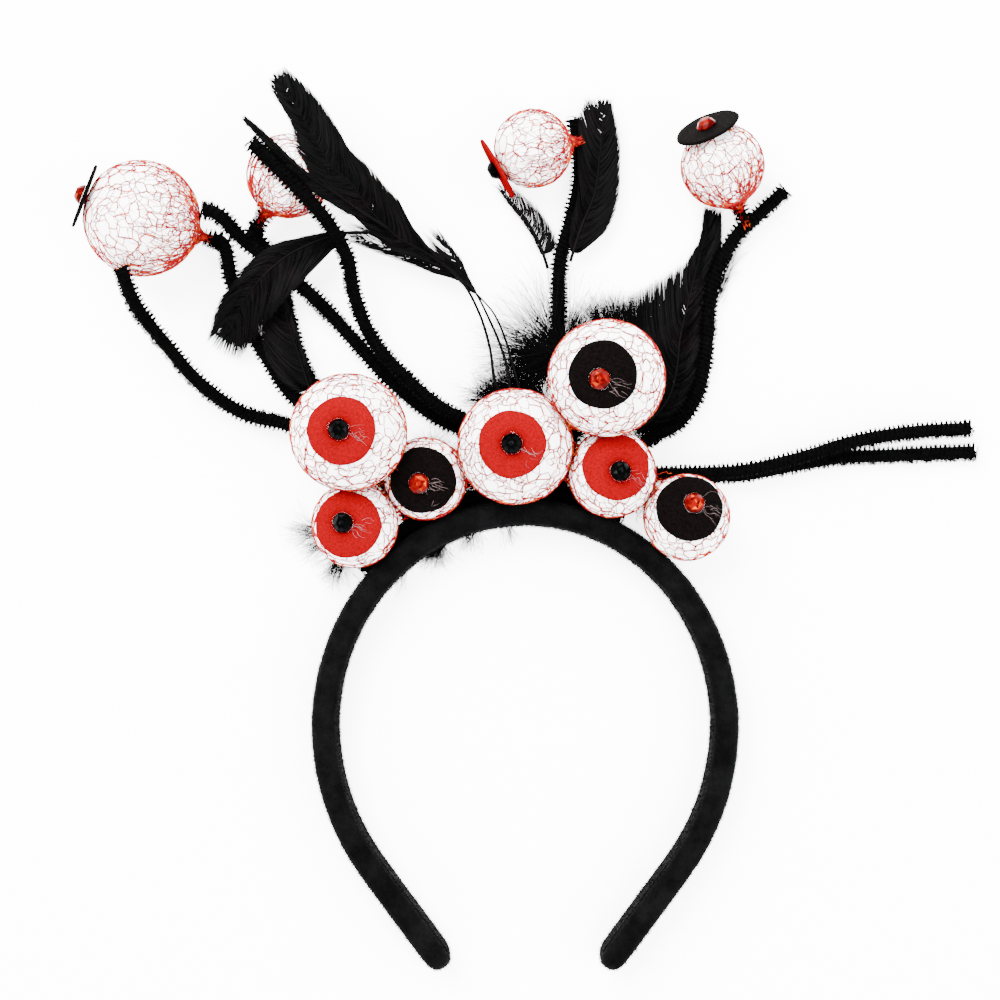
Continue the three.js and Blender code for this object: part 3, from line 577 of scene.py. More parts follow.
def red_net(name, eye):
    tied = name in TIES
    pole = tie_direction(TIES[name]) if tied else -eye["look"]
    facts = TIED_NET if tied else GLUED_NET
    cells = net_threads(eye, pole, facts["pull"], keep=facts["keep"])
    fold = net_threads(eye, pole, facts["loose_pull"], LOOSE_CELL_AREA)
    strands = gathered_strands(eye, pole, facts["reach"], facts["strands"])
    piece = from_arrays(f"red_net_{name}", *together(cells, fold, strands, long_threads(eye)), red_thread)
    return hand_over(piece, "net")


for name, eye in eyes.items():
    print("net on", name, len(red_net(name, eye).data.polygons), "triangles")

# %% [markdown]
# ## Net ties
# Behind each stem eye the net is twisted together and bound, and its cut ends flare out. A bundle of
# threads that narrows at the binding and opens again is closer to that than a solid cone would be.

# %% Make the ties
TIE_LENGTH = 5.0
SHORT_TIE = {"middle": 0.6}  # this one is hidden behind a stem and a feather
TIE_SHARES = np.array([0, 0.25, 0.45, 0.6, 0.8, 1.0])
TIE_RADII = [5.4, 2.9, 1.7, 1.3, 1.4, 1.8]
TIE_THREADS = 120
TIE_THREAD_RADIUS = 0.12
LONG_TAIL_EVERY = 4
LONG_TAIL = 1.6
BINDING_TURNS = 5
BINDING_RADIUS = 1.3
BINDING_RISE = 0.035  # millimetres along the tie for each radian


def net_tie(tie):
    eye, pole = eyes[f"stalk_{tie}"], tie_direction(tie)
    length = TIE_LENGTH * SHORT_TIE.get(tie, 1)
    start = eye["centre"] + (eye["radius"] - 0.6) * pole
    turn = chance.uniform(0, 2 * np.pi, (TIE_THREADS, 1))
    inner = np.sqrt(chance.uniform(0.1, 1, (TIE_THREADS, 1)))
    reach = length * chance.uniform(0.7, 1.3, (TIE_THREADS, 1))
    reach[::LONG_TAIL_EVERY] *= LONG_TAIL
    shape = (TIE_THREADS, len(TIE_SHARES))
    heading = turn + 1.1 * TIE_SHARES + 0.25 * chance.normal(size=shape)
    radius = inner * TIE_RADII * chance.uniform(0.8, 1.2, shape)
    spread = seated(circled(radius, heading, reach * TIE_SHARES), start, pole)
    threads = tubes(spread, TIE_THREAD_RADIUS, pole + 0.01)
    turn = np.linspace(0, 2 * np.pi * BINDING_TURNS, 16 * BINDING_TURNS)
    wrap = circled(BINDING_RADIUS, turn, 0.5 * length + BINDING_RISE * turn)
    binding = tubes(seated(wrap, start, pole)[None], THREAD_RADIUS, pole, sides=5)
    piece = from_arrays(f"net_tail_{tie}", *together(threads, binding), red_thread)
    return hand_over(piece, "net", f"net_tie_{tie}")


for tie in TIES.values():
    net_tie(tie)
print("net ties:", len(TIES))

# %% [markdown]
# ## Tangles between the balls
# Where two balls are glued together the loose net is pressed into a tangle. Each thread wanders about the
# point of contact, and any point that would lie inside a ball is pushed out to its skin.

# %% Make the tangles
NEIGHBOURS = [
    ("high_left", "low_left"), ("high_left", "near_left"), ("low_left", "near_left"),
    ("near_left", "middle"), ("middle", "high_right"), ("middle", "near_right"),
    ("high_right", "near_right"), ("near_right", "low_right"),
]
TANGLE_THREADS = 46
TANGLE_POINTS = 9
TANGLE_REACH = 7.5
TANGLE_THREAD_RADIUS = 0.11


def tangle(first, second):
    one, two = eyes[first], eyes[second]
    way = unit(two["centre"] - one["centre"])
    contact = one["centre"] + way * one["radius"]
    side = unit(np.cross(way, (0, 0, 1)))
    rise = np.cross(side, way)
    turn = chance.uniform(0, 2 * np.pi, (TANGLE_THREADS, 1))
    out = TANGLE_REACH * np.sqrt(chance.uniform(0.1, 1, (TANGLE_THREADS, 1)))
    across = np.linspace(-1, 1, TANGLE_POINTS) * chance.uniform(0.8, 3.2, (TANGLE_THREADS, 1))
    along = out + 0.5 * np.cumsum(chance.normal(size=(TANGLE_THREADS, TANGLE_POINTS)), axis=1)
    paths = contact + across[..., None] * way
    paths = paths + (along * np.cos(turn))[..., None] * side + (along * np.sin(turn))[..., None] * rise
    for eye in (one, two, one):
        away = paths - eye["centre"]
        far = np.linalg.norm(away, axis=-1, keepdims=True)
        paths = eye["centre"] + away * np.maximum(far, eye["radius"] + 0.2) / far
    threads = tubes(paths, TANGLE_THREAD_RADIUS, way + 0.01)
    piece = from_arrays(f"net_tangle_{first}_{second}", *threads, red_thread)
    return hand_over(piece, "net")


for pair in NEIGHBOURS:
    tangle(*pair)
print("tangles:", len(NEIGHBOURS))

# %% [markdown]
# ## Felt irises
# Each iris is a disc cut from felt with scissors. A profile line is spun round by a Screw modifier, its rim
# is made a little uneven, and several hundred loose fibres stand on the top and the cut edge.

# %% Spin a profile
def turned_piece(name, profile, steps, material):
    """A closed solid of revolution about +Z from a profile of (radius, height) points in millimetres."""
    points = [(MM * radius, 0, MM * height) for radius, height in profile]
    mesh = bpy.data.meshes.new(name)
    mesh.from_pydata(points, [(i, i + 1) for i in range(len(points) - 1)], [])
    piece = linked(name, mesh)
    choose(piece)
    screw = piece.modifiers.new("turn", "SCREW")
    screw.steps = screw.render_steps = steps
    screw.use_merge_vertices = True
    screw.merge_threshold = 1e-6
    bpy.ops.object.modifier_apply(modifier=screw.name)
    in_edit_mode(piece, merge_doubles, bpy.ops.mesh.normals_make_consistent)
    piece.data.shade_smooth()
    piece.data.materials.append(material)
    return piece


def move_to(piece, place, look):
    turned, shift = seat(place, look)
    matrix = Matrix([[*turned[row], MM * shift[row]] for row in range(3)] + [[0, 0, 0, 1]])
    piece.data.transform(matrix)


# %% Make the irises
RIM_UNEVEN = 0.012
RIM_ROUND = 0.3
SHADE_START = 3.2  # millimetres from the middle of the stone, where the painted shade on the felt starts
SHADE_FADE = 1.6
FUZZ_ON_TOP = 900
FUZZ_ON_RIM = 320


def iris(name, eye):
    def under(radius):
        return -eye["dish"] * radius**2 / (2 * eye["radius"])

    material = black_felt if name in BLACK_IRIS else red_felt
    flat = IRIS_RADIUS - RIM_ROUND
    low = [(radius, under(radius)) for radius in np.linspace(0, flat, 5)]
    rim = [(IRIS_RADIUS, under(IRIS_RADIUS) + rise) for rise in (RIM_ROUND, IRIS_THICKNESS - RIM_ROUND)]
    high = [(radius, under(radius) + IRIS_THICKNESS) for radius in np.linspace(flat, 0, 12)]
    disc = turned_piece(f"felt_iris_{name}", low + rim + high, 72, material)
    phase = chance.uniform(0, 6, 2)
    for vertex in disc.data.vertices:
        turn = math.atan2(vertex.co.y, vertex.co.x)
        wave = RIM_UNEVEN * (math.sin(3 * turn + phase[0]) + 0.6 * math.sin(7 * turn + phase[1]))
        vertex.co.xy *= 1 + wave
    move_to(disc, felt_place(eye), eye["look"])
    # Painted shade: each disc gets a value that fades out from the stone's edge, and the red felt darkens
    # by it.
    corners = np.array([vertex.co for vertex in disc.data.vertices]) / MM
    from_stone = np.linalg.norm(corners - eye["gem"], axis=1) - SHADE_START
    shade = disc.data.attributes.new("painted_stone_shade", "FLOAT", "POINT")
    shade.data.foreach_set("value", np.exp(-np.maximum(from_stone, 0) / SHADE_FADE))

    radius = IRIS_RADIUS * np.sqrt(chance.uniform(0, 1, FUZZ_ON_TOP))
    turn = chance.uniform(0, 2 * np.pi, FUZZ_ON_TOP)
    top = under(radius) + IRIS_THICKNESS
    roots = circled(radius, turn, top - 0.05)
    lean = chance.normal(size=roots.shape) * (0.5, 0.5, 0.12) + (0, 0, 0.12)
    rim_turn = chance.uniform(0, 2 * np.pi, FUZZ_ON_RIM)
    edge = under(IRIS_RADIUS) + chance.uniform(0.1, 0.9, FUZZ_ON_RIM)
    around = circled(1, rim_turn, 0)
    rim_roots = around * (IRIS_RADIUS - 0.15) + np.column_stack([np.zeros((FUZZ_ON_RIM, 2)), edge])
    rim_lean = around * chance.uniform(0.2, 0.55, (FUZZ_ON_RIM, 1)) + 0.2 * chance.normal(size=around.shape)
    fuzz = together(hairs(roots, roots + lean, 0.07), hairs(rim_roots, rim_roots + rim_lean, 0.06))
    hair = from_arrays("fuzz", seated(fuzz[0], felt_place(eye), eye["look"]), fuzz[1], material)
    slot = "felt_black" if name in BLACK_IRIS else "felt_red"
    return hand_over(joined(f"felt_iris_{name}", [disc, hair]), slot, f"iris_{name}")


for name, eye in eyes.items():
    iris(name, eye)
print("felt irises:", len(eyes))

# %% [markdown]
# ## Faceted stones
# A craft stone is cut like a small brilliant. Rings of points are wrapped in a convex hull, and the hull's
# flat faces are the facets. Each facet gets its own brightness, as if it mirrored another part of the room.

# %% Make the stones
GIRDLE = 3.5
STONE_HEIGHT = 2.6
STONE_RINGS = [
    # radius, height, points, shift in steps
    (0.96 * GIRDLE, 0, 16, 0),
    (GIRDLE, 0.45, 16, 0),
    (2.85, 1.55, 8, 0.5),
    (1.75, STONE_HEIGHT, 8, 0),
    (0.8, STONE_HEIGHT + 0.05, 8, 0.5),
]
# The CAD stone has eight corners at three heights and one point at the middle of each end.
STONE_MIDDLE = STONE_HEIGHT * (8 * 0.2 + 8 + 1) / 26
FACET_SLICES = 16
FACET_RINGS = [0.75, 1.6, 2.9]  # radii that part the inner table, the table, the crown and the girdle
FACET_CUTS = np.array([[0.5, 1.0], [0.15, 0.7], [0.3, 1.0], [0.1, 0.75]])  # range of brightness in each


def ring_points(radius, height, count, shift):
    return circled(radius, 2 * np.pi * (np.arange(count) + shift) / count, height)


def stone(name, eye):
    corners, triangles = hull_triangles(np.concatenate([ring_points(*ring) for ring in STONE_RINGS]))
    x, y, _ = corners[triangles].mean(axis=1).T
    slice_of = np.floor(np.arctan2(y, x) / (2 * np.pi) * FACET_SLICES).astype(int)
    ring = np.searchsorted(FACET_RINGS, np.hypot(x, y))
    low, high = FACET_CUTS[ring].T
    cut = low + (high - low) * chance.uniform(size=(len(FACET_CUTS), FACET_SLICES))[ring, slice_of]
    color = "red" if name in BLACK_IRIS else "black"
    material = red_stone if name in BLACK_IRIS else black_stone
    foot = eye["gem"] - eye["look"] * STONE_MIDDLE
    piece = from_arrays(f"stone_{name}", seated(corners, foot, eye["look"]), triangles, material)
    piece.data.shade_flat()
    piece.data.attributes.new("cut", "FLOAT", "FACE").data.foreach_set("value", cut)
    return hand_over(piece, f"stone_{color}", f"gem_{name}")


for name, eye in eyes.items():
    stone(name, eye)
print("stones:", len(eyes))

# %% [markdown]
# ## Glue
# Clear glue holds each stone of the crown. It leaves a low bead around the stone, and thin strings that
# were pulled across the felt when the nozzle was lifted away to one side.

# %% Beads and strings of glue
BEAD_PROFILE = [(3.3, 0), (3.85, 0), (3.8, 0.1), (3.65, 0.16), (3.45, 0.18), (3.3, 0)]
STRING_HEADING = -22.0  # degrees
STRING_STEPS = 10
STRINGS = 11
FIRST_STRINGS = 3  # these start at the stone
STONE_EDGE = 3.4
FELT_EDGE = 10.6  # millimetres from the stone, where strings end


def glue(name, eye):
    look = eye["look"]
    foot = eye["gem"] - look * STONE_MIDDLE
    bead = turned_piece(f"glue_{name}", BEAD_PROFILE, 40, clear_glue)
    for vertex in bead.data.vertices:
        turn = math.atan2(vertex.co.y, vertex.co.x)
        vertex.co.xy *= 1 + 0.04 * math.sin(2 * turn + len(name)) + 0.03 * math.sin(5 * turn)
    move_to(bead, foot - 0.1 * look, look)
    aside = seat(foot, look)[0].T @ (foot - felt_place(eye))
    share = np.linspace(0, 1, STRING_STEPS)
    paths = []
    for lane in range(STRINGS):
        starts_at_stone = lane < FIRST_STRINGS
        heading = math.radians(STRING_HEADING + 14 * chance.normal())
        first = STONE_EDGE if starts_at_stone else chance.uniform(4, 8.5)
        last = min(first + chance.uniform(1.5, 6), FELT_EDGE)
        out = first + (last - first) * share
        side = 0.8 * chance.normal() * (not starts_at_stone)
        side = side + 0.8 * chance.normal() * np.sin(np.pi * share) + 0.5 * chance.normal() * share
        x = out * math.cos(heading) - side * math.sin(heading)
        y = out * math.sin(heading) + side * math.cos(heading)
        sunk = np.hypot(x + aside[0], y + aside[1]) ** 2 - np.hypot(*aside[:2]) ** 2
        paths.append(np.column_stack([x, y, 0.02 - eye["dish"] * sunk / (2 * eye["radius"])]))
    thick = chance.uniform(0.02, 0.045, size=(STRINGS, 1)) * np.linspace(1.2, 0.5, STRING_STEPS)
    threads = tubes(seated(np.array(paths), foot, look), thick, look, sides=4)
    strings = from_arrays("strings", *threads, glue_string)
    return hand_over(joined(f"glue_{name}", [bead, strings]), "stone_black")


glued = [name for name in eyes if not name.startswith("stalk")]
for name in glued:
    glue(name, eyes[name])
print("glued stones with strings:", len(glued))

# %% [markdown]
# ## Velvet band
# The CAD band has flat sides. A merged copy is turned back into quads and subdivided, which rounds the
# padding without moving it. Velvet is seen by its short pile, so thousands of short fibres stand on the
# surface and lean down the band, the way the pile is brushed.

# %% The line of the band, with the sizes of the CAD model
BAND_HALF_WIDTH = 71.0
CROWN_RISE = 75.8
SIDE_RADIUS = 85.0
SIDE_BEND = 36.6
LEG_LENGTH = 43.4
BAND_DEPTH = 18.0
HALF_THICKNESS = 4.7


def band_at(station):
    """The middle line and the outward direction: 0 crown, 1 widest place, 2 end of the turn, 3 tip."""
    side = -1 if station < 0 else 1
    far = abs(station)
    if far <= 1:
        turn = far * math.pi / 2
        middle = (side * BAND_HALF_WIDTH * math.sin(turn), CROWN_RISE * (math.cos(turn) - 1))
        outward = (side * math.sin(turn) / BAND_HALF_WIDTH, math.cos(turn) / CROWN_RISE)
    else:
        turn = math.radians(SIDE_BEND) * min(far - 1, 1)
        run = LEG_LENGTH * max(far - 2, 0)
        x = BAND_HALF_WIDTH + SIDE_RADIUS * (math.cos(turn) - 1) - run * math.sin(turn)
        y = -CROWN_RISE - SIDE_RADIUS * math.sin(turn) - run * math.cos(turn)
        middle = (side * x, y)
        outward = (side * math.cos(turn), -math.sin(turn))
    return np.array(middle), unit(np.array(outward))


# %% The padded band
PILE_PER_SQUARE_MM = 2.3
PILE_LENGTH = 1.1


def merged_copy(node, name):
    piece = linked(name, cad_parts[node].data.copy())
    in_edit_mode(piece, merge_doubles, bpy.ops.mesh.tris_convert_to_quads)
    return piece


def scattered(piece, per_square_mm):
    """Random places all over a mesh, with the surface normal at each, in millimetres."""
    mesh = piece.data
    mesh.calc_loop_triangles()
    corners = np.array([v.co for v in mesh.vertices]) / MM
    triangles = np.array([triangle.vertices[:] for triangle in mesh.loop_triangles])
    a, b, c = (corners[triangles[:, i]] for i in range(3))
    normal = np.cross(b - a, c - a)
    area = np.linalg.norm(normal, axis=1) / 2
    count = int(area.sum() * per_square_mm)
    pick = chance.choice(len(triangles), size=count, p=area / area.sum())
    u, v = chance.uniform(size=(2, count, 1))
    flip = u + v > 1
    u, v = np.where(flip, 1 - u, u), np.where(flip, 1 - v, v)
    return a[pick] + u * (b - a)[pick] + v * (c - a)[pick], unit(normal)[pick]


band = merged_copy("headband", "velvet_band")
rounding = band.modifiers.new("round", "SUBSURF")
rounding.levels = rounding.render_levels = 2
choose(band)
bpy.ops.object.modifier_apply(modifier=rounding.name)
band.data.shade_smooth()
band.data.materials.clear()
band.data.materials.append(velvet)

roots, normals = scattered(band, PILE_PER_SQUARE_MM)
lean = unit(normals + (0, -0.4, 0) + 0.5 * chance.normal(size=roots.shape))
length = PILE_LENGTH * chance.uniform(0.4, 1.2, (len(roots), 1))
nap = from_arrays("nap", *hairs(roots - 0.1 * normals, roots + lean * length, 0.2), velvet)
band = joined("velvet_band", [band, nap])
hand_over(band, "velvet", "headband")
print("velvet band:", len(band.data.polygons), "faces")

# %% The seam on the head side
SEAM_HEIGHT = 0.78 * BAND_DEPTH
SEAM_LENGTH = 430
SEAM_ENDS = 2.9  # stations
SEAM_RADIUS = 0.42
STITCH_PITCH = 3.0
STITCH_RADIUS = 0.14
STITCH_SHAPE = [(0.2, 0.9), (0.55, 0), (0.2, -0.9)]  # inward and up from the seam
HEAD_MIDDLE = (0, -60)


def seam_point(station, height, sink):
    middle, outward = band_at(station)
    return [*(middle - outward * (HALF_THICKNESS - sink)), height]


stations = np.linspace(-SEAM_ENDS, SEAM_ENDS, 240)
seam_path = np.array([seam_point(station, SEAM_HEIGHT, 0.25) for station in stations])
ridge = tubes(seam_path[None], SEAM_RADIUS, (0, 0, 1), sides=6)
stitch = []
for step in np.linspace(0, len(seam_path) - 1.001, int(SEAM_LENGTH / STITCH_PITCH)):
    whole = int(step)
    here = seam_path[whole] + (step - whole) * (seam_path[whole + 1] - seam_path[whole])
    inward = unit(np.array([HEAD_MIDDLE[0] - here[0], HEAD_MIDDLE[1] - here[1], 0]))
    stitch.append([here + inward * out + (0, 0, up) for out, up in STITCH_SHAPE])
stitches = tubes(np.array(stitch), STITCH_RADIUS, (1, 0.3, 0))
seam = from_arrays("velvet_seam", *together(ridge, stitches), velvet)
hand_over(seam, "velvet")
print("seam stitches:", len(stitch))

# %% [markdown]
# ## Routes of the stems and quills
# Stems and feathers follow free curves. Each route is a short list of points, as in the CAD model: a root,
# a tip and a few bends, each with its way along, its sideways swing and its height as shares. The curve
# through them is a centripetal Catmull-Rom spline, which doesn't overshoot between uneven points.

# %% Curves through points
STEM_DIAMETER = 6.0
QUILL_RADIUS = 0.8
FEATHER_THICKNESS = 1.4
BALL_GLUE = 0.15
LAY = STEM_DIAMETER / 2 + 0.2
STACK = LAY + STEM_DIAMETER + GAP
ON_STEM = LAY + (STEM_DIAMETER + FEATHER_THICKNESS) / 2 + GAP
ON_STACK = STACK + (STEM_DIAMETER + FEATHER_THICKNESS) / 2 + GAP


def spline(points, per_span=24):
    points = [np.asarray(p, float) for p in points]
    points = [2 * points[0] - points[1], *points, 2 * points[-1] - points[-2]]
    share = np.linspace(0, 1, per_span, endpoint=False)[:, None]
    spans = []
    for p0, p1, p2, p3 in zip(points, points[1:], points[2:], points[3:]):
        d0, d1, d2 = (np.linalg.norm(b - a) ** 0.5 for a, b in ((p0, p1), (p1, p2), (p2, p3)))
        leave = d1 * ((p1 - p0) / d0 - (p2 - p0) / (d0 + d1) + (p2 - p1) / d1)
        arrive = d1 * ((p2 - p1) / d1 - (p3 - p1) / (d1 + d2) + (p3 - p2) / d2)
        a = 2 * p1 - 2 * p2 + leave + arrive
        b = -3 * p1 + 3 * p2 - 2 * leave - arrive
        spans.append(((a * share + b) * share + leave) * share + p1)
    return np.concatenate([*spans, points[-2][None]])


def evenly(path, count):
    """The same curve with points at equal distances, and its length."""
    travelled = np.concatenate([[0], np.cumsum(np.linalg.norm(np.diff(path, axis=0), axis=1))])
    at = np.linspace(0, travelled[-1], count)
    return np.column_stack([np.interp(at, travelled, path[:, i]) for i in range(3)]), travelled[-1]


def point_on(path, share):
    even, _ = evenly(path, 400)
    at = np.atleast_1d(share) * (len(even) - 1)
    spots = np.column_stack([np.interp(at, np.arange(len(even)), even[:, i]) for i in range(3)])
    slope = np.gradient(even, axis=0)
    ahead = np.column_stack([np.interp(at, np.arange(len(even)), slope[:, i]) for i in range(3)])
    return spots, unit(ahead)


# %% Places where routes begin and end
def polar(start, distance, heading, z=None):
    turn = math.radians(heading)
    height = start[2] if z is None else z
    return np.array([start[0] + distance * math.cos(turn), start[1] + distance * math.sin(turn), height])


def beside_eye(name, share, heading, z):
    """A place at a heading from an eye, at a share of its radius away from its middle."""
    return polar(eyes[name]["centre"], share * eyes[name]["radius"], heading, z)


def under_ball(name, heading, height, thickness, nearest=0.5):
    eye = eyes[name]
    touching = eye["radius"] + thickness / 2 + BALL_GLUE
    below = eye["centre"][2] - height
    distance = max(nearest * eye["radius"], math.sqrt(max(0, touching**2 - below**2)))
    z = max(height, eye["centre"][2] - math.sqrt(max(0, touching**2 - distance**2)))
    return polar(eye["centre"], distance, heading, z)


def height_over(name, distance, thickness):
    eye = eyes[name]
    touching = eye["radius"] + thickness / 2 + GAP
    return eye["centre"][2] + math.sqrt(max(0, touching**2 - distance**2))


def past_tie(tie, distance):
    eye = eyes[f"stalk_{tie}"]
    return eye["centre"] + tie_direction(tie) * (eye["radius"] + GAP + TIE_LENGTH + distance)


def station_of(name):
    """Where along the crown a ball is glued."""
    spread = np.linspace(-1, 1, 2001)
    centre = eyes[name]["centre"][:2]
    miss = []
    for station in spread:
        middle, outward = band_at(station)
        gap = centre - middle
        miss.append(abs(gap[0] * outward[1] - gap[1] * outward[0]))
    return spread[int(np.argmin(miss))]


def on_band(first, second):
    """Against the outer side of the band, half way between two balls."""
    middle, outward = band_at((station_of(first) + station_of(second)) / 2)
    return np.array([*(middle + outward * (HALF_THICKNESS + 2 * GAP)), LAY])


def route(root, tip, crest, bends, neck=()):
    way = (tip - root) * (1, 1, 0)
    left = np.array([-way[1], way[0], 0])
    between = []
    for along, aside, rise in bends:
        bend = root + way * along + left * aside
        bend[2] = LAY + rise * (crest - LAY)
        between.append(bend)
    return spline([root, *between, *neck, tip])


# %% [markdown]
# ## Chenille stems
# A chenille stem is two twisted wires that grip short fibres. The fibres stand out in two rows that wind
# round the stem like a screw, so its edge shows small tufts with gaps between them. Each fibre is one thin
# triangle with its wide end outside, because the pile is cut blunt. A smooth dark core stands for the
# crowded inner ends of the fibres.

# %% Routes of the stems
left_radius = eyes["stalk_left"]["radius"]
inner_radius = eyes["stalk_inner"]["radius"]
over_left = height_over("stalk_left", 0.97 * left_radius, STEM_DIAMETER)
SIDE_REACH = 108
STEMS = {
    "left_free": route(
        under_ball("high_left", 208, LAY, STEM_DIAMETER),
        beside_eye("stalk_left", 0.97, -105, over_left),
        over_left,
        [(0.17, 0.035, 0.13), (0.34, 0.12, 0.07), (0.53, 0.14, 0.26), (0.72, 0.11, 0.5),
         (0.88, 0.07, 0.77)],
    ),
    "left_long": route(
        under_ball("middle", 162, LAY, STEM_DIAMETER),
        polar(eyes["stalk_left"]["centre"], left_radius + 3 * GAP, 8),
        STACK,
        [(0.15, 0.04, 0), (0.3, 0.04, 0), (0.44, 0.02, 0), (0.56, 0, 0.13), (0.66, -0.01, 0.85),
         (0.77, -0.01, 1.32), (0.87, -0.01, 1.6)],
        [polar(eyes["stalk_left"]["centre"], left_radius + STEM_DIAMETER, 4)],
    ),
    "inner_free": route(
        under_ball("middle", 150, STACK, STEM_DIAMETER),
        beside_eye("stalk_inner", 1.0, 141, height_over("stalk_inner", 0, STEM_DIAMETER)),
        height_over("stalk_inner", 0.2 * inner_radius, STEM_DIAMETER),
        [(0.08, 0.04, 0.23), (0.22, 0.07, 0.23), (0.37, 0.075, 0.25), (0.5, 0.035, 0.38),
         (0.58, -0.01, 0.58), (0.68, -0.03, 0.82), (0.79, -0.025, 1), (0.92, -0.01, 1)],
    ),
    "left_short": route(
        under_ball("high_left", 150, LAY, STEM_DIAMETER),
        past_tie("left", GAP),
        STACK,
        [(0.2, 0.085, 0.06), (0.38, 0.09, 0.01), (0.58, 0.08, 0.04), (0.8, 0.03, 0.4)],
        [past_tie("left", 0.7 * STEM_DIAMETER)],
    ),
    "inner": route(
        on_band("near_left", "low_left"),
        past_tie("inner", GAP),
        STACK,
        [(0.07, -0.01, 0), (0.17, 0.01, 0), (0.33, 0.05, 0), (0.48, 0.07, 0), (0.61, 0.07, 0),
         (0.75, 0.04, 0), (0.87, 0.005, 0.04)],
        [past_tie("inner", 0.7 * STEM_DIAMETER)],
    ),
    "middle": route(
        on_band("middle", "near_right"),
        beside_eye("stalk_middle", 1.48, 41, LAY),
        STACK,
        [(0.06, -0.01, 0), (0.16, -0.03, 0), (0.26, -0.02, 0), (0.39, 0.01, 0), (0.52, 0.02, 0),
         (0.63, 0.02, 0), (0.72, 0, 0), (0.84, -0.02, 0)],
    ),
    "right": route(
        under_ball("near_right", 40, LAY, STEM_DIAMETER),
        beside_eye("stalk_right", 1.7, -16.5, LAY + STEM_DIAMETER / 3),
        STACK,
        [(0.1, -0.03, 0), (0.18, -0.08, 0), (0.29, -0.09, 0), (0.39, -0.06, 0), (0.48, -0.02, 0),
         (0.58, 0.03, 0), (0.68, 0.06, 0.1), (0.8, 0.06, 0.4), (0.9, 0.03, 0.42)],
    ),
    "side_upper": route(
        under_ball("near_right", 0, STACK, STEM_DIAMETER),
        polar(eyes["low_right"]["centre"], SIDE_REACH, 17, LAY + STEM_DIAMETER / 2),
        STACK,
        [(0.11, -0.015, 1), (0.27, -0.03, 1), (0.46, -0.015, 1), (0.62, 0.01, 0.9), (0.81, 0.015, 0.6)],
    ),
    "side_lower": route(
        under_ball("low_right", 80, LAY, STEM_DIAMETER),
        polar(eyes["low_right"]["centre"], SIDE_REACH, 12.4, LAY),
        STACK,
        [(0.06, 0.04, 0), (0.19, 0.03, 0), (0.4, 0.04, 0), (0.54, 0.045, 0), (0.68, 0.03, 0),
         (0.85, 0.015, 0)],
    ),
}

# %% Make the stems
FIBRES_PER_MM = 82
TWIST_PITCH = 3.4
ROW_SPREAD = 0.6  # radians to each side of a row
STRAY_SHARE = 0.12  # share of the fibres that stand between the rows
STRAY_LENGTH = 0.8
PILE_RADIUS = 3.65
FIBRE_WIDTH = 0.24
CORE_RADIUS = 2.25
CORE_STEP = 1.1
WIRE_RADIUS = 0.32


def about(path, share, turn):
    """Places on a path, the way ahead there, and spokes turned by an angle about the path."""
    spots, ahead = point_on(path, share)
    level = unit(np.cross(ahead, (0, 0, 1)))
    above = np.cross(level, ahead)
    return spots, ahead, np.cos(turn)[:, None] * level + np.sin(turn)[:, None] * above


def chenille(name, path, core=CORE_RADIUS):
    _, length = evenly(path, 10)
    count = int(length * FIBRES_PER_MM)
    share = chance.uniform(0, 1, count)
    twist = 2 * np.pi * share * length / TWIST_PITCH
    twist += np.pi * chance.integers(0, 2, count) + chance.uniform(-ROW_SPREAD, ROW_SPREAD, count)
    stray = chance.uniform(size=count) < STRAY_SHARE
    twist = np.where(stray, chance.uniform(0, 2 * np.pi, count), twist)
    spots, ahead, spoke = about(path, share, twist)
    tuft = (2 * share * length / TWIST_PITCH).astype(int)
    size = chance.uniform(0.86, 1.04, tuft.max() + 1)[tuft] * np.where(stray, STRAY_LENGTH, 1)
    long = PILE_RADIUS * size[:, None] * chance.uniform(0.8, 1.03, (count, 1))
    lean = unit(spoke + 0.05 * chance.normal(size=(count, 1)) * ahead)
    fibres = hairs(spots + lean * long, spots, FIBRE_WIDTH)

    share = np.linspace(0, 1, max(5, int(length / CORE_STEP)))
    spots, _, spoke = about(path, share, 2 * np.pi * share * length / TWIST_PITCH)
    wires = np.stack([spots + WIRE_RADIUS * spoke, spots - WIRE_RADIUS * spoke])
    wire = tubes(wires, WIRE_RADIUS, (0, 0, 1), sides=5)
    inner_ends = tubes(spots[None, 1:-1], core, (0, 0, 1), sides=9)
    piece = from_arrays(f"chenille_{name}", *together(fibres, wire, inner_ends), pile)
    print("chenille", name, len(piece.data.polygons), "triangles")
    return hand_over(piece, "chenille")


for name, path in STEMS.items():
    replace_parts(chenille(name, path), f"stem_{name}")

# The free end of a stem is wound round the tie of its eye. The numbers are shares of the tie's length.
WINDING_STARTS = {"inner": -0.75, "right": -0.75, "left": -0.5}
WINDING_CORE = 1.6
for tie, start in WINDING_STARTS.items():
    winding = spline([past_tie(tie, share * TIE_LENGTH) for share in (start, start / 2, 0.1, 0.5)])
    chenille(f"{tie}_winding", winding, core=WINDING_CORE)

# %% [markdown]
# The ends of the stems are hidden between the balls and the band, where the photograph shows only black
# pile. One more length of chenille, laid along the outer side of the crown, fills that groove.

# %% Fill the groove
GROOVE_ENDS = (-0.54, 0.3)  # stations
GROOVE_OUT = HALF_THICKNESS + 2.2
GROOVE_HEIGHT = 6.5
GROOVE_CORE = 3.0


def on_crown(station, out, z):
    """A place at a station of the band, some millimetres outward from its mid-line."""
    middle, outward = band_at(station)
    return np.array([*(middle + out * outward), z])


groove = [on_crown(station, GROOVE_OUT, GROOVE_HEIGHT) for station in np.linspace(*GROOVE_ENDS, 12)]
chenille("groove", spline(groove), core=GROOVE_CORE)

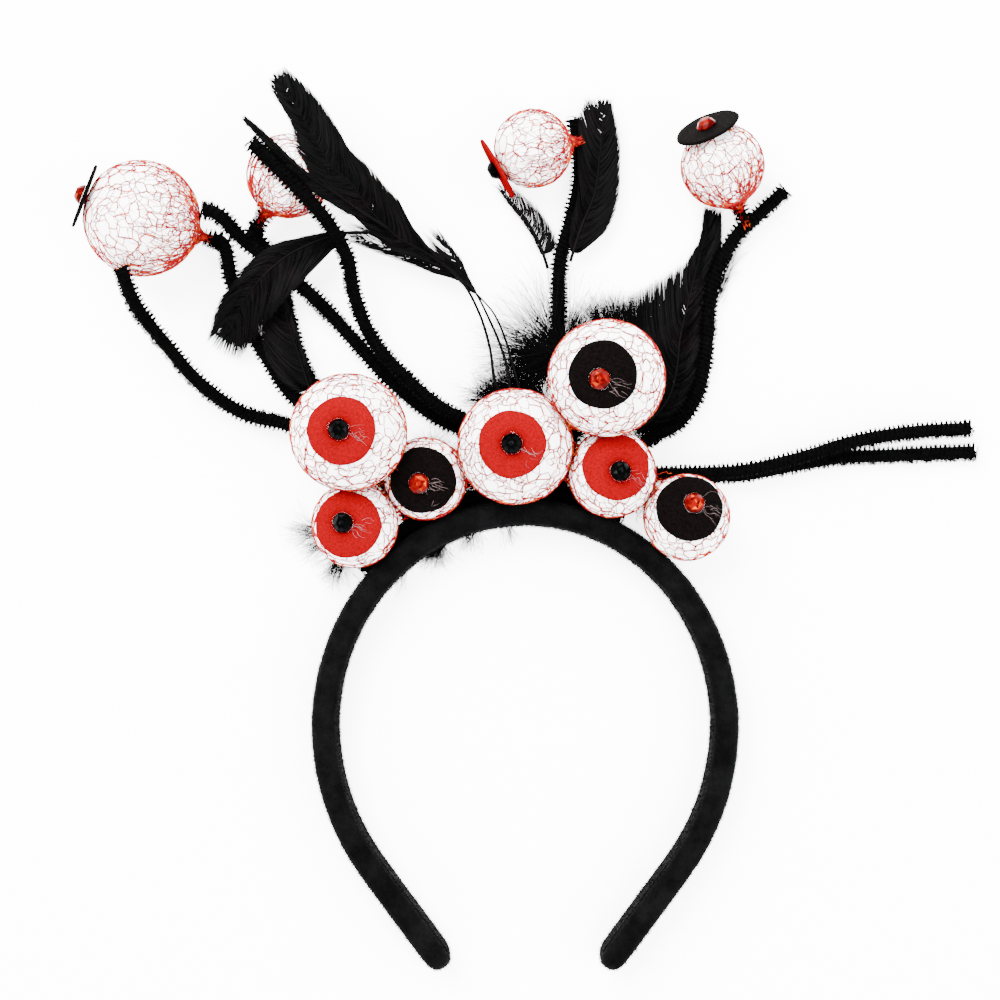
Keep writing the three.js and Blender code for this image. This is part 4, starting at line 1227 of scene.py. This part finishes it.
# %% [markdown]
# ## Feathers
# A feather is a tapering quill with a row of barbs on each side. Barbs lean towards the tip, and the ends
# of those in one lock cling together, so the edge of the vane is a little uneven. Each barb is a narrow
# blade with a few bends. A short table gives the half width of the vane on each side of the quill.

# %% Feather making
BARB_POINTS = 5
END_FRINGE = 2.2  # how far barbs reach past the end of the quill
END_LOCKS = 6  # locks that the last barbs gather into on a splayed feather
CLING = 0.07  # how far the tips of one lock draw together
LOOSE_SHARE = 0.16  # share of the barbs that stand out of the edge as a hair
LOOSE_REACH = 1.7
LOOSE_WIDTH = 0.12
EVEN_SWEEP = [(0, 1.8), (1, 1.8)]  # how far a tip lies ahead of its root, in half widths
BARB_TAPER = np.array([1.2, 1.15, 0.95, 0.7, 0.15])


def beside_stem(name, share, left, z):
    spots, ahead = point_on(STEMS[name], share)
    aside = unit(np.array([-ahead[0][1], ahead[0][0], 0]))
    place = spots[0] + aside * left
    place[2] = z
    return place


def barbs(path, bare, locks, table, side, per_mm, blade, sweep, ragged, splay):
    """One row of barbs. The table holds half widths of the vane at shares of its length."""
    _, length = evenly(path, 10)
    vane_length = length * (1 - bare)
    along_edge = int(vane_length * per_mm)
    along_end = int(table[-1][1] * per_mm)
    tip = (np.arange(along_edge) + chance.uniform(0, 1, along_edge)) / along_edge
    tip = np.concatenate([tip, np.ones(along_end)])
    width = np.interp(tip, *zip(*table))
    width[along_edge:] *= chance.uniform(0, 1, along_end)
    width *= 1 - ragged * chance.uniform(0, 1, len(tip)) ** 3
    root = np.clip(tip - np.interp(tip, *zip(*sweep)) * width / vane_length, 0, 1)

    splits = np.concatenate([[0], np.sort(chance.uniform(0, 1, locks)), [1]])
    lock = np.searchsorted(splits[1:-1], tip)
    to_middle = (splits[lock] + splits[lock + 1]) / 2 - tip
    to_middle *= CLING * chance.exponential(1, locks + 1)[lock] * (1 + splay * (tip > 0.6))
    along = np.linspace(0, 1, BARB_POINTS)
    share = root[:, None] + (tip - root)[:, None] * along**1.4 + to_middle[:, None] * along**5
    spots, ahead = point_on(path, bare + (1 - bare) * share.ravel())
    spots, ahead = spots.reshape(*share.shape, 3), ahead.reshape(*share.shape, 3)
    aside = side * unit(np.stack([-ahead[..., 1], ahead[..., 0], np.zeros(share.shape)], axis=-1))
    above = np.cross(ahead, aside) * side
    out = width[:, None] * (1.25 * along - 0.25 * along**2)
    fan = END_LOCKS * width / table[-1][1]
    gather = 0.1 * splay * (tip == 1) * (np.floor(fan) + 0.5 - fan) * table[-1][1] / END_LOCKS
    out += gather[:, None] * along**3
    past = END_FRINGE * (1 + 0.3 * splay * (tip > 0.8)) * chance.uniform(0, 1, len(tip))
    past = past[:, None] * along**2 + 0.12 * chance.normal(size=(len(tip), 1)) * np.sin(3 * along)
    curl = 0.3 * chance.normal(size=(len(tip), 1))
    curl = curl * along**2 - 0.1 * width[:, None] * along**2
    paths = spots + out[..., None] * aside + past[..., None] * ahead + curl[..., None] * above
    paths[..., 2] = np.maximum(paths[..., 2], 0.25)
    tilt = unit(above[:, :1] + 0.5 * chance.normal(size=(len(tip), 1, 3)))
    return paths, blade * BARB_TAPER, tilt


def quill(path):
    even, _ = evenly(path, 60)
    return tubes(even[None], np.linspace(QUILL_RADIUS * 0.85, 0.16, 60), (0, 0, 1), sides=6)


def barbules(paths, per_path, length, width):
    """Short side fibres that make a soft barb fluffy."""
    count, steps = paths.shape[:2]
    at = chance.uniform(0.15, 0.98, (count, per_path)) * (steps - 1)
    low = np.floor(at).astype(int)
    part = (at - low)[..., None]
    rows = np.arange(count)[:, None]
    step = paths[rows, low + 1] - paths[rows, low]
    roots = (paths[rows, low] + part * step).reshape(-1, 3)
    ahead = unit(step).reshape(-1, 3)
    out = unit(ahead + 0.9 * chance.normal(size=ahead.shape))
    tips = roots + out * length * chance.uniform(0.5, 1.2, (len(roots), 1))
    tips[:, 2] = np.maximum(tips[:, 2], 0.1)
    return hairs(roots, tips, width)


def feather(
    name, path, bare, locks, left, right,
    per_mm=17, blade=0.36, sweep=EVEN_SWEEP, ragged=0.14, fluff=0, splay=0,
):
    parts = [quill(path)]
    for side, table in ((1, left), (-1, right)):
        paths, widths, facing = barbs(path, bare, locks, table, side, per_mm, blade, sweep, ragged, splay)
        parts.append(blades(paths, widths, facing))
        loose = paths[chance.uniform(size=len(paths)) < LOOSE_SHARE].copy()
        spread = unit(loose[:, -1] - loose[:, 0])
        loose += spread[:, None] * np.linspace(0, LOOSE_REACH, BARB_POINTS)[None, :, None]
        parts.append(blades(loose, LOOSE_WIDTH * BARB_TAPER, facing[: len(loose)]))
        if fluff:
            parts.append(barbules(paths, fluff, 1.6, 0.07))
    piece = from_arrays(f"plume_{name}", *together(*parts), barb)
    return hand_over(piece, "plume", f"feather_{name}")


# %% Routes of the feathers
over_inner = height_over("stalk_inner", 0.55 * inner_radius, FEATHER_THICKNESS)
over_inner_top = height_over("stalk_inner", 0, FEATHER_THICKNESS)
tall_path = route(
    under_ball("middle", 104, 0.45 * over_inner, FEATHER_THICKNESS),
    beside_eye("stalk_inner", 2.19, 95, over_inner),
    over_inner,
    [(0.05, -0.01, 0.4), (0.13, -0.05, 0.36), (0.22, -0.08, 0.36), (0.32, -0.09, 0.4), (0.42, -0.06, 0.48),
     (0.5, -0.02, 0.6), (0.6, 0, 0.8), (0.67, 0, 0.92), (0.74, 0.015, 0.97), (0.81, 0.01, 1), (0.93, 0, 1)],
)
on_tall = point_on(tall_path, 0.54)[0][0] + (0, 0, FEATHER_THICKNESS + GAP)

FEATHERS = {
    "tall": dict(
        path=tall_path, bare=0.38, locks=26,
        left=[(0, 1.5), (0.1, 3.5), (0.2, 5), (0.3, 5), (0.4, 6), (0.55, 8.5), (0.7, 7.5), (0.8, 4.5),
              (0.95, 4), (1, 2)],
        right=[(0, 2), (0.1, 2.5), (0.2, 6.5), (0.3, 10), (0.5, 8.5), (0.7, 8.7), (0.8, 8.3), (0.9, 7),
               (1, 4.5)],
    ),
    "narrow": dict(
        path=route(
            on_tall, beside_eye("stalk_inner", 1.45, 127.5, over_inner_top), over_inner_top,
            [(0.19, 0.02, 0.84), (0.34, 0.03, 0.97), (0.52, 0.045, 1.05), (0.66, 0.035, 1.05),
             (0.85, 0.01, 1)],
        ),
        bare=0.2, locks=14,
        left=[(0, 3.4), (0.25, 4), (0.4, 3.4), (0.6, 2.8), (0.85, 1.8), (1, 0.8)],
        right=[(0, 0.8), (1, 0.8)],
    ),
    "wisp": dict(
        path=route(
            under_ball("middle", 94, ON_STEM + 3, FEATHER_THICKNESS),
            beside_eye("stalk_inner", 2.08, -43, ON_STEM + 4), ON_STACK,
            [(0.14, -0.1, 0.68), (0.33, -0.18, 0.66), (0.5, -0.22, 0.66), (0.66, -0.17, 0.72),
             (0.79, -0.11, 0.75)],
        ),
        bare=0.52, locks=12, per_mm=9, blade=0.17, ragged=0.6, sweep=[(0, 3), (1, 4)], splay=4,
        left=[(0, 1), (0.3, 3), (0.7, 3), (1, 2)],
        right=[(0, 1), (0.3, 5), (0.7, 6), (1, 4)],
    ),
    "hook": dict(
        path=route(
            under_ball("middle", 78, ON_STEM + 1.5, FEATHER_THICKNESS),
            beside_eye("stalk_middle", 3.3, -137.5, ON_STEM), ON_STACK,
            [(0.22, -0.05, 0.45), (0.5, -0.08, 0.42), (0.7, -0.03, 0.42), (0.86, -0.02, 0.42)],
        ),
        bare=0.66, locks=8, per_mm=11, blade=0.2, ragged=0.6, sweep=[(0, 2), (1, 2.5)], splay=4,
        left=[(0, 1), (0.5, 4), (0.8, 5), (1, 4)],
        right=[(0, 0.9), (0.5, 2), (1, 1)],
    ),
    "curled": dict(
        path=route(
            beside_eye("stalk_inner", 2.4, -34.6, ON_STACK), beside_eye("stalk_left", 2.47, -55.6, ON_STEM),
            ON_STACK,
            [(0.12, -0.08, 1), (0.26, -0.13, 1.04), (0.45, -0.16, 1.12), (0.64, -0.14, 1.2),
             (0.81, -0.09, 1)],
        ),
        bare=0.12, locks=22, splay=7,
        left=[(0, 0.5), (0.1, 4.8), (0.2, 6.7), (0.3, 9.3), (0.4, 10.8), (0.5, 11), (0.7, 11), (0.8, 10),
              (1, 7)],
        right=[(0, 0.5), (0.1, 1.7), (0.3, 4), (0.4, 6.2), (0.5, 7), (0.6, 7.3), (0.7, 6.3), (0.8, 8),
               (1, 6)],
    ),
    "tucked": dict(
        path=route(
            beside_eye("high_left", 1.0, 138, ON_STEM), beside_eye("stalk_left", 2.6, -27.5, ON_STEM),
            ON_STEM,
            [(0.32, 0, 1), (0.66, 0, 1)],
        ),
        bare=0.08, locks=12,
        left=[(0, 6), (0.2, 9.8), (0.4, 11.5), (0.7, 10.5), (1, 8)],
        right=[(0, 1.5), (0.3, 2.2), (1, 2)],
    ),
    "under_eye": dict(
        path=route(
            beside_stem("middle", 0.6, STEM_DIAMETER / 2 + GAP + QUILL_RADIUS, LAY),
            beside_eye("stalk_middle", 1.2, -135, FEATHER_THICKNESS), LAY,
            [(0.31, -0.06, 1), (0.58, -0.06, 1), (0.8, -0.02, 1)],
        ),
        bare=0.15, locks=9, per_mm=14, blade=0.13,
        left=[(0, 1), (0.4, 1.6), (1, 1.2)],
        right=[(0, 6), (0.3, 6.3), (0.6, 5.3), (0.8, 4), (1, 2.5)],
    ),
    "upright": dict(
        path=route(
            beside_stem("middle", 0.62, -0.6 * STEM_DIAMETER, ON_STEM),
            beside_eye("stalk_middle", 2.23, 34.5, ON_STEM), ON_STEM,
            [(0.21, -0.02, 1), (0.43, -0.06, 1), (0.65, -0.05, 1), (0.84, -0.03, 1)],
        ),
        bare=0.06, locks=16,
        left=[(0, 1), (0.1, 3), (0.3, 5), (0.5, 7), (0.7, 8.5), (0.9, 8.5), (1, 6)],
        right=[(0, 3), (0.08, 5.1), (0.2, 8.8), (0.3, 9.2), (0.46, 8.4), (0.71, 6.9), (0.85, 5), (1, 3)],
    ),
    "downy": dict(
        path=route(
            beside_stem("right", 0.08, STEM_DIAMETER / 2 + GAP + QUILL_RADIUS, LAY),
            beside_eye("stalk_right", 1.06, -106, LAY), LAY,
            [(0.18, -0.08, 1), (0.3, -0.08, 1), (0.46, -0.05, 1), (0.6, -0.04, 1), (0.75, -0.03, 1),
             (0.9, -0.02, 1)],
        ),
        bare=0.04, locks=34, fluff=2, ragged=0.35, per_mm=25, blade=0.42,
        sweep=[(0, 1), (0.3, 1.1), (0.5, 1.6), (0.6, 2), (0.75, 3), (1, 2.5)],
        left=[(0, 12), (0.15, 19), (0.3, 25), (0.44, 28), (0.5, 23), (0.55, 21), (0.6, 17), (0.65, 12),
              (0.7, 8), (0.75, 4), (0.85, 1.5), (1, 1)],
        right=[(0, 4), (0.1, 8), (0.5, 8.5), (0.75, 8), (1, 5)],
    ),
}

# %% Make the feathers
for name, facts in FEATHERS.items():
    piece = feather(name, **facts)
    print("feather", name, len(piece.data.polygons), "triangles")

# %% [markdown]
# ## Down
# Down has no stiff vane. Its barbs are soft strands that spread from one point and carry fine side fibres.
# A tuft is made of several locks, each a bundle of strands with its own heading and reach.

# %% Down strands
STRAND_POINTS = 8
STRAND_BEND = 14  # degrees
ON_TALL = ON_STEM + FEATHER_THICKNESS + GAP
DOWN_LOCKS = [
    # reach, heading, width, height at the tips, number of strands
    (22, 222, 5, LAY, 330),
    (27, 205, 5, LAY, 330),
    (30, 188, 4, LAY, 260),
    (29, 168, 4.5, LAY, 180),
    (29, 145, 4.5, LAY, 130),
    (32, 120, 4, LAY, 110),
    (36, 103, 3, ON_TALL, 60),
    (28, 76, 4, ON_TALL, 50),
    (15, 55, 4.5, ON_STEM, 60),
]


def strands(root, reach, heading, spread, end, count, width=0.17):
    """A lock of down: strands that start together and fan out."""
    share = np.linspace(0, 1, STRAND_POINTS)
    turn = heading + spread * chance.normal(size=(count, 1))
    turn = np.radians(turn + STRAND_BEND * chance.normal(size=(count, 1)) * share)
    long = reach * chance.uniform(0.55, 1.12, (count, 1)) * share
    start = root + chance.normal(size=(count, 1, 3)) * (1.3, 1.3, 0.5)
    wave = 0.25 * np.sin(9 * share + 6 * chance.uniform(size=(count, 1))) * share
    x = long * np.cos(turn) - wave * np.sin(turn)
    y = long * np.sin(turn) + wave * np.cos(turn)
    z = (end - root[2]) * share + 1.1 * chance.normal(size=(count, 1)) * share
    paths = start + np.stack([x, y, z], axis=-1)
    paths[..., 2] = np.maximum(paths[..., 2], 0.15)
    facing = unit(np.array([0, 0, 1.0]) + 0.5 * chance.normal(size=(count, 1, 3)))
    return paths, blades(paths, width * np.linspace(1, 0.25, STRAND_POINTS), facing)


tuft_root = beside_stem("middle", 0.38, 0, ON_STEM + FEATHER_THICKNESS)
parts = []
for reach, heading, width, end, count in DOWN_LOCKS:
    paths, strand = strands(tuft_root, reach, heading, 2.6 * width, end, count, 0.2)
    parts += [strand, barbules(paths, 11, 1.6, 0.06)]
for heading in np.linspace(60, 112, 7):
    root = beside_eye("middle", 0.97, heading, LAY)
    paths, strand = strands(root, 13, 90 + 0.8 * heading, 26, LAY, 140, 0.22)
    parts += [strand, barbules(paths, 9, 1.6, 0.07)]
tuft = from_arrays("down_tuft_strands", *together(*parts), down_fibre)
hand_over(tuft, "plume", "down_tuft")
print("down tuft:", len(tuft.data.polygons), "triangles")

# %% Loose wisps and the down pressed in round the crown
def between(*names):
    """The place in the middle of some eyes, near the table."""
    spot = np.mean([eyes[name]["centre"] for name in names], axis=0)
    return spot * (1, 1, 0.45)


WISP_END = 2.0  # height of the tips
WISPS = [
    # root, reach, heading, spread, number of strands
    (beside_eye("low_left", 0.78, 196, 5), 15, 172, 9, 130),
    (beside_eye("low_left", 0.78, 212, 5), 12, 203, 9, 90),
    (beside_eye("low_left", 0.82, 245, 5), 12, 240, 16, 200),
    (on_crown(-0.43, -2, LAY), 11, 235, 12, 80),
    (on_crown(-0.31, -3, LAY), 9, 250, 34, 300),
    (on_crown(-0.27, -2, LAY), 12, 232, 16, 120),
    (on_crown(-0.18, -2, LAY), 10, 262, 16, 110),
    (on_crown(-0.06, -3, LAY), 9, 285, 10, 40),
    (beside_stem("right", 0.6, -1.5, LAY), 20, 66, 2, 90),
    (beside_stem("right", 0.7, -1.5, LAY), 15, 62, 2, 70),
    (beside_stem("middle", 0.36, -2.4, LAY), 22, 80, 5, 110),
    (beside_eye("high_right", 0.95, 112, LAY), 11, 112, 18, 90),
    (beside_eye("high_right", 0.95, 92, LAY), 12, 104, 18, 240),
    (beside_eye("high_right", 0.95, 74, LAY), 14, 100, 18, 330),
    (beside_eye("high_right", 0.95, 56, LAY), 15, 96, 18, 330),
    (beside_eye("high_right", 0.95, -48, LAY), 9, 300, 30, 260),
    (on_crown(-0.16, 11, 2 * LAY), 7, 90, 90, 280),
    (on_crown(0.14, 10.5, 2 * LAY), 7, 90, 90, 280),
]
FILLED_GAPS = [
    ("high_left", "low_left", "near_left"), ("near_left", "middle"), ("middle", "high_right", "near_right"),
    ("near_right", "low_right"), ("high_left", "near_left", "middle"),
]
WISPS += [(between(*group), 9, 90, 90, 320) for group in FILLED_GAPS]

parts = []
for root, reach, heading, spread, count in WISPS:
    paths, strand = strands(root, reach, heading, spread, WISP_END, count)
    parts += [strand, barbules(paths, 9, 1.3, 0.06)]
wisps = from_arrays("loose_down", *together(*parts), down_fibre)
hand_over(wisps, "plume")
print("loose down:", len(wisps.data.polygons), "triangles")
